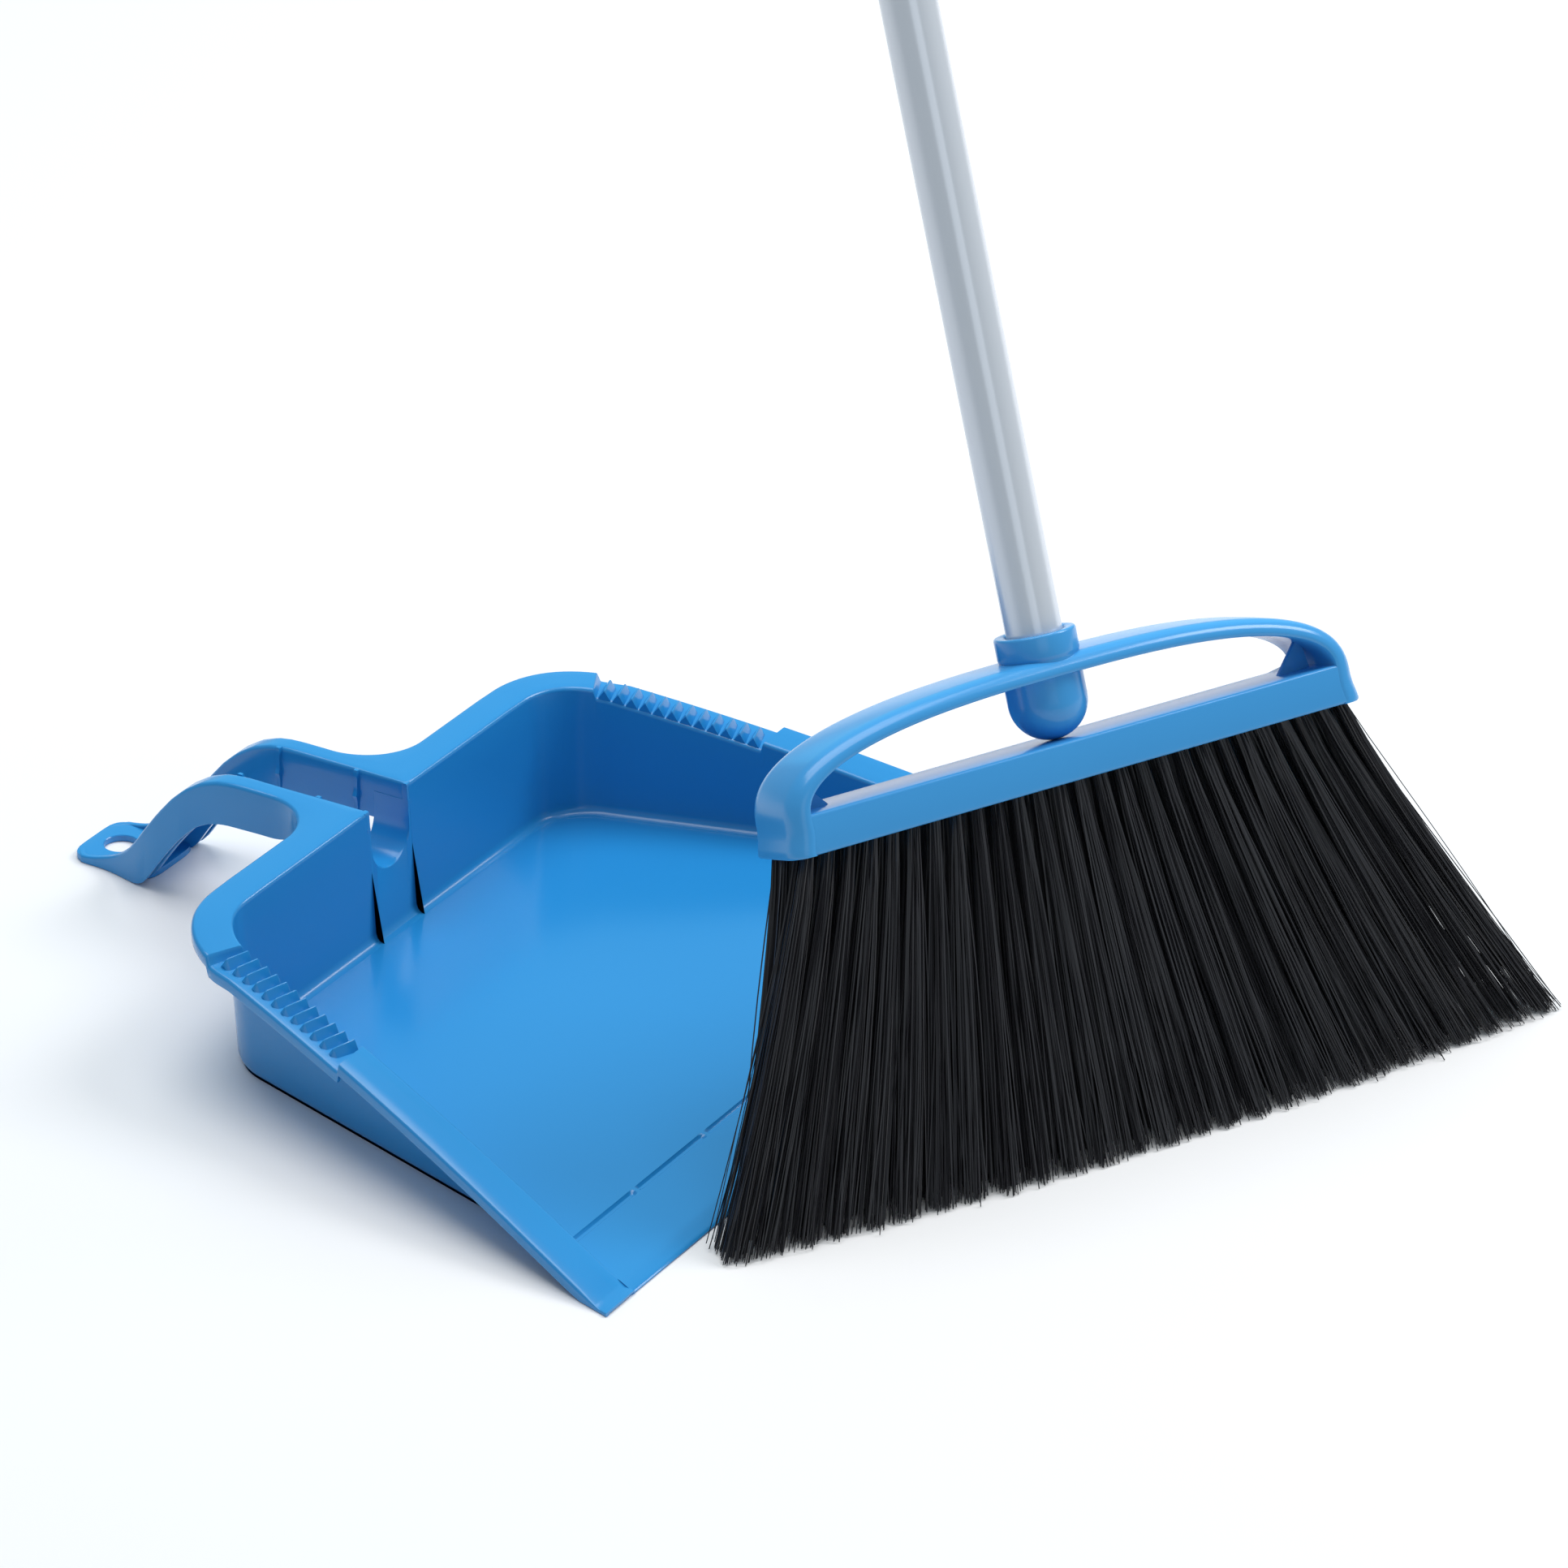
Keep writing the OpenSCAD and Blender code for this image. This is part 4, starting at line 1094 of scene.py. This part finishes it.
class SWEEP_OT_pole(bpy.types.Operator):
    """Build the coated tube and its hanging cap, and finish the threaded plug"""
    bl_idname = "sweep.pole"
    bl_label = "Pole"

    def execute(self, context):
        r, z0, z1 = float(POLE_HIGH[0]), float(POLE_LOW[2]), float(POLE_HIGH[2])
        steel = 0.8
        inner = r - steel
        outer = [(r - 0.25, z0), (r, z0 + 0.25)]
        outer += [(r, z) for z in np.linspace(z0 + 6, z1 - 6, 30)]
        prof = outer + [(r, z1 - 0.25), (r - 0.25, z1), (inner + 0.1, z1), (inner, z1 - 0.2),
                        (inner, z0 + 0.2), (inner + 0.1, z0)]
        q = lathe(prof, 72)
        pts = broom_point(q[..., 0], q[..., 1], q[..., 2]).reshape(-1, 3)
        new_piece("pole", pts, [grid(len(prof), 72, close_u=True, close_v=True)], material("pole_coating"),
                  "pole", 40, ["pole_tube"])
        self.cap(r, z1)
        dress("pole_thread_plug", "plug_plastic")
        return {"FINISHED"}

    def cap(self, r, z1):
        """The cap's sleeve is turned. Its strap is a stadium outline carried round the hanging hole, with
        both faces rounded off into the edge."""
        ro, ri, foot = r + 1.4, r + 0.1, z1 - 46
        prof = [(ri, foot), (ri + 0.3, foot), (ro - 0.4, foot), (ro - 0.1, foot + 0.4), (ro, foot + 1)]
        prof += [(ro, z) for z in np.linspace(z1 - 40, z1 - 1.5, 6)]
        prof += [(ro - 0.2, z1 - 0.2), (ro - 0.8, z1 + 0.8), (ro - 2.2, z1 + 1.5), (0.02, z1 + 1.5),
                 (0.02, z1 + 0.2), (ri, z1 + 0.2)]
        q = lathe(prof, 64)
        pts = broom_point(q[..., 0], q[..., 1], q[..., 2]).reshape(-1, 3)
        new_piece("pole_cap", pts, [grid(len(prof), 64, close_u=True, close_v=True)], material("pan_plastic"),
                  "pole_fittings", 40, ["pole_top_cap"])
        a = np.linspace(0, 2 * np.pi, 72, endpoint=False)
        half, hole, zc = 5.5, 5.2, z1 + 15.5

        def outline(inset):
            """A half circle over the hole, and straight-sided below it down into the sleeve."""
            rad, reach = ro - inset, 17 - inset
            c, s = np.cos(a), np.sin(a)
            z = zc + 0.5 + np.where(s > 0, rad, reach) * s
            x = np.sign(c) * np.minimum(rad, rad * np.abs(c) ** np.where(s > 0, 1, 0.35))
            return np.stack([x, z], -1)

        def ring(rad):
            """The hanging hole's outline, or one round it."""
            return np.stack([rad * np.cos(a), zc + rad * np.sin(a)], -1)

        stops = [(ring(hole), -half + 1), (ring(hole), half - 1), (ring(hole + 0.3), half - 0.3),
                 (ring(hole + 1), half), (outline(1.2), half), (outline(0.4), half - 0.35),
                 (outline(0), half - 1.2), (outline(0), -half + 1.2), (outline(0.4), -half + 0.35),
                 (outline(1.2), -half), (ring(hole + 1), -half), (ring(hole + 0.3), -half + 0.3)]
        p = np.array([np.column_stack([q2[:, 0], np.full(len(q2), y), q2[:, 1]]) for q2, y in stops])
        depth = np.sqrt(np.maximum(ro ** 2 - p[..., 0] ** 2, 0.2))
        p[..., 1] = np.clip(p[..., 1], -depth, depth)
        pts = broom_point(p[..., 0], p[..., 1], p[..., 2]).reshape(-1, 3)
        new_piece("pole_cap_strap", pts, [grid(len(stops), len(a), close_u=True, close_v=True)],
                  material("pan_plastic"), "pole_fittings", 40)


# ---------------------------------------------------------------- stage

CAMERA_AT = (-2.20385, -1.40282, 1.47096)
LAMPS_AIM_AT = (0, 0, 0.05)
# each lamp's name, place, width, power and colour
LAMPS = (
    ("key", (1.5, -1.2, 1.9), 1.2, 34.0, (1, 0.985, 0.97)),
    ("fill", (-1.6, -2.0, 1.3), 1.4, 4.0, (0.9, 0.95, 1)),
    ("top", (0.4, 0.5, 2.8), 2.4, 62.0, (1, 0.99, 0.98)),
    ("card", (2.3, 1.4, 1.45), 2.8, 22.0, (0.10, 0.62, 1)))
SKY, SKY_STRENGTH = (0.80, 0.92, 1.0, 1), 0.34
FLOOR_UNDER = 0.00005


class SWEEP_OT_stage(bpy.types.Operator):
    """Set the pale floor, the soft studio lamps and the camera"""
    bl_idname = "sweep.stage"
    bl_label = "Stage"

    def execute(self, context):
        s = context.scene.sweep_stage
        size, rows = 6.0, 9
        u = np.linspace(-size, size, rows)
        x, y = np.meshgrid(u, u, indexing="ij")
        mesh = bpy.data.meshes.new("studio_floor")
        points = np.stack([x, y, 0 * x - FLOOR_UNDER], -1).reshape(-1, 3)
        mesh.from_pydata(points, [], grid(rows, rows).tolist())
        mesh.materials.append(material("studio_paper"))
        floor = bpy.data.objects.new("studio_floor", mesh)
        context.scene.collection.objects.link(floor)
        world = context.scene.world or bpy.data.worlds.new("studio")
        context.scene.world = world
        world.use_nodes = True
        back = world.node_tree.nodes.get("Background") or world.node_tree.nodes.new("ShaderNodeBackground")
        back.inputs["Color"].default_value = SKY
        back.inputs["Strength"].default_value = SKY_STRENGTH
        for name, at, width, power, colour in LAMPS:
            lamp = bpy.data.lights.new(name, "AREA")
            lamp.size, lamp.energy, lamp.color = width, power * s.light, colour
            holder = bpy.data.objects.new(name, lamp)
            # the blue card is only there to be mirrored in the gloss
            holder.visible_diffuse = name != "card"
            holder.location = at
            holder.rotation_mode = "QUATERNION"
            holder.rotation_quaternion = (Vector(LAMPS_AIM_AT) - Vector(at)).to_track_quat("-Z", "Y")
            context.scene.collection.objects.link(holder)
        self.camera(context, s)
        context.scene.view_settings.view_transform = "Standard"
        return {"FINISHED"}

    def camera(self, context, s):
        """A long lens on a straight sight line, at the set's usual viewing angle."""
        data = bpy.data.cameras.new("camera")
        data.sensor_width, data.lens = 36.0, s.lens
        data.clip_start, data.clip_end = 0.05, 50.0
        camera = bpy.data.objects.new("camera", data)
        a, e = math.radians(s.azimuth), math.radians(s.elevation)
        back = Vector((math.sin(a) * math.cos(e), -math.cos(a) * math.cos(e), math.sin(e)))
        camera.location = CAMERA_AT
        camera.rotation_mode = "QUATERNION"
        camera.rotation_quaternion = (-back).to_track_quat("-Z", "Y")
        context.scene.collection.objects.link(camera)
        context.scene.camera = camera


class SWEEP_PT_panel(bpy.types.Panel):
    """Sizes, finishes and one button for each group of pieces"""
    bl_idname = "SWEEP_PT_panel"
    bl_label = "Dust pan and broom"
    bl_space_type = "VIEW_3D"
    bl_region_type = "UI"
    bl_category = "Sweeping"

    def draw(self, context):
        for group in ("sweep_pan", "sweep_broom", "sweep_finishes", "sweep_stage"):
            box = self.layout.box()
            settings = getattr(context.scene, group)
            for key in settings.bl_rna.properties.keys():
                if key not in ("rna_type", "name"):
                    box.prop(settings, key)
        for step in STEPS:
            self.layout.operator(step.bl_idname)


STEPS = (SWEEP_OT_stage, SWEEP_OT_pan, SWEEP_OT_pan_details, SWEEP_OT_head, SWEEP_OT_bristles, SWEEP_OT_blade,
         SWEEP_OT_pole)
GROUPS = {"sweep_pan": PanSizes, "sweep_broom": BroomSizes, "sweep_finishes": Finishes,
          "sweep_stage": StageSetup}


def register():
    for cls in (*GROUPS.values(), *STEPS, SWEEP_PT_panel):
        bpy.utils.register_class(cls)
    for name, cls in GROUPS.items():
        setattr(bpy.types.Scene, name, PointerProperty(type=cls))


def unregister():
    for name in GROUPS:
        delattr(bpy.types.Scene, name)
    for cls in reversed((*GROUPS.values(), *STEPS, SWEEP_PT_panel)):
        bpy.utils.unregister_class(cls)


def main():
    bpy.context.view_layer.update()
    register()
    for step in STEPS:
        group, name = step.bl_idname.split(".")
        getattr(getattr(bpy.ops, group), name)()
    bpy.context.view_layer.update()


if __name__ == "__main__":
    main()
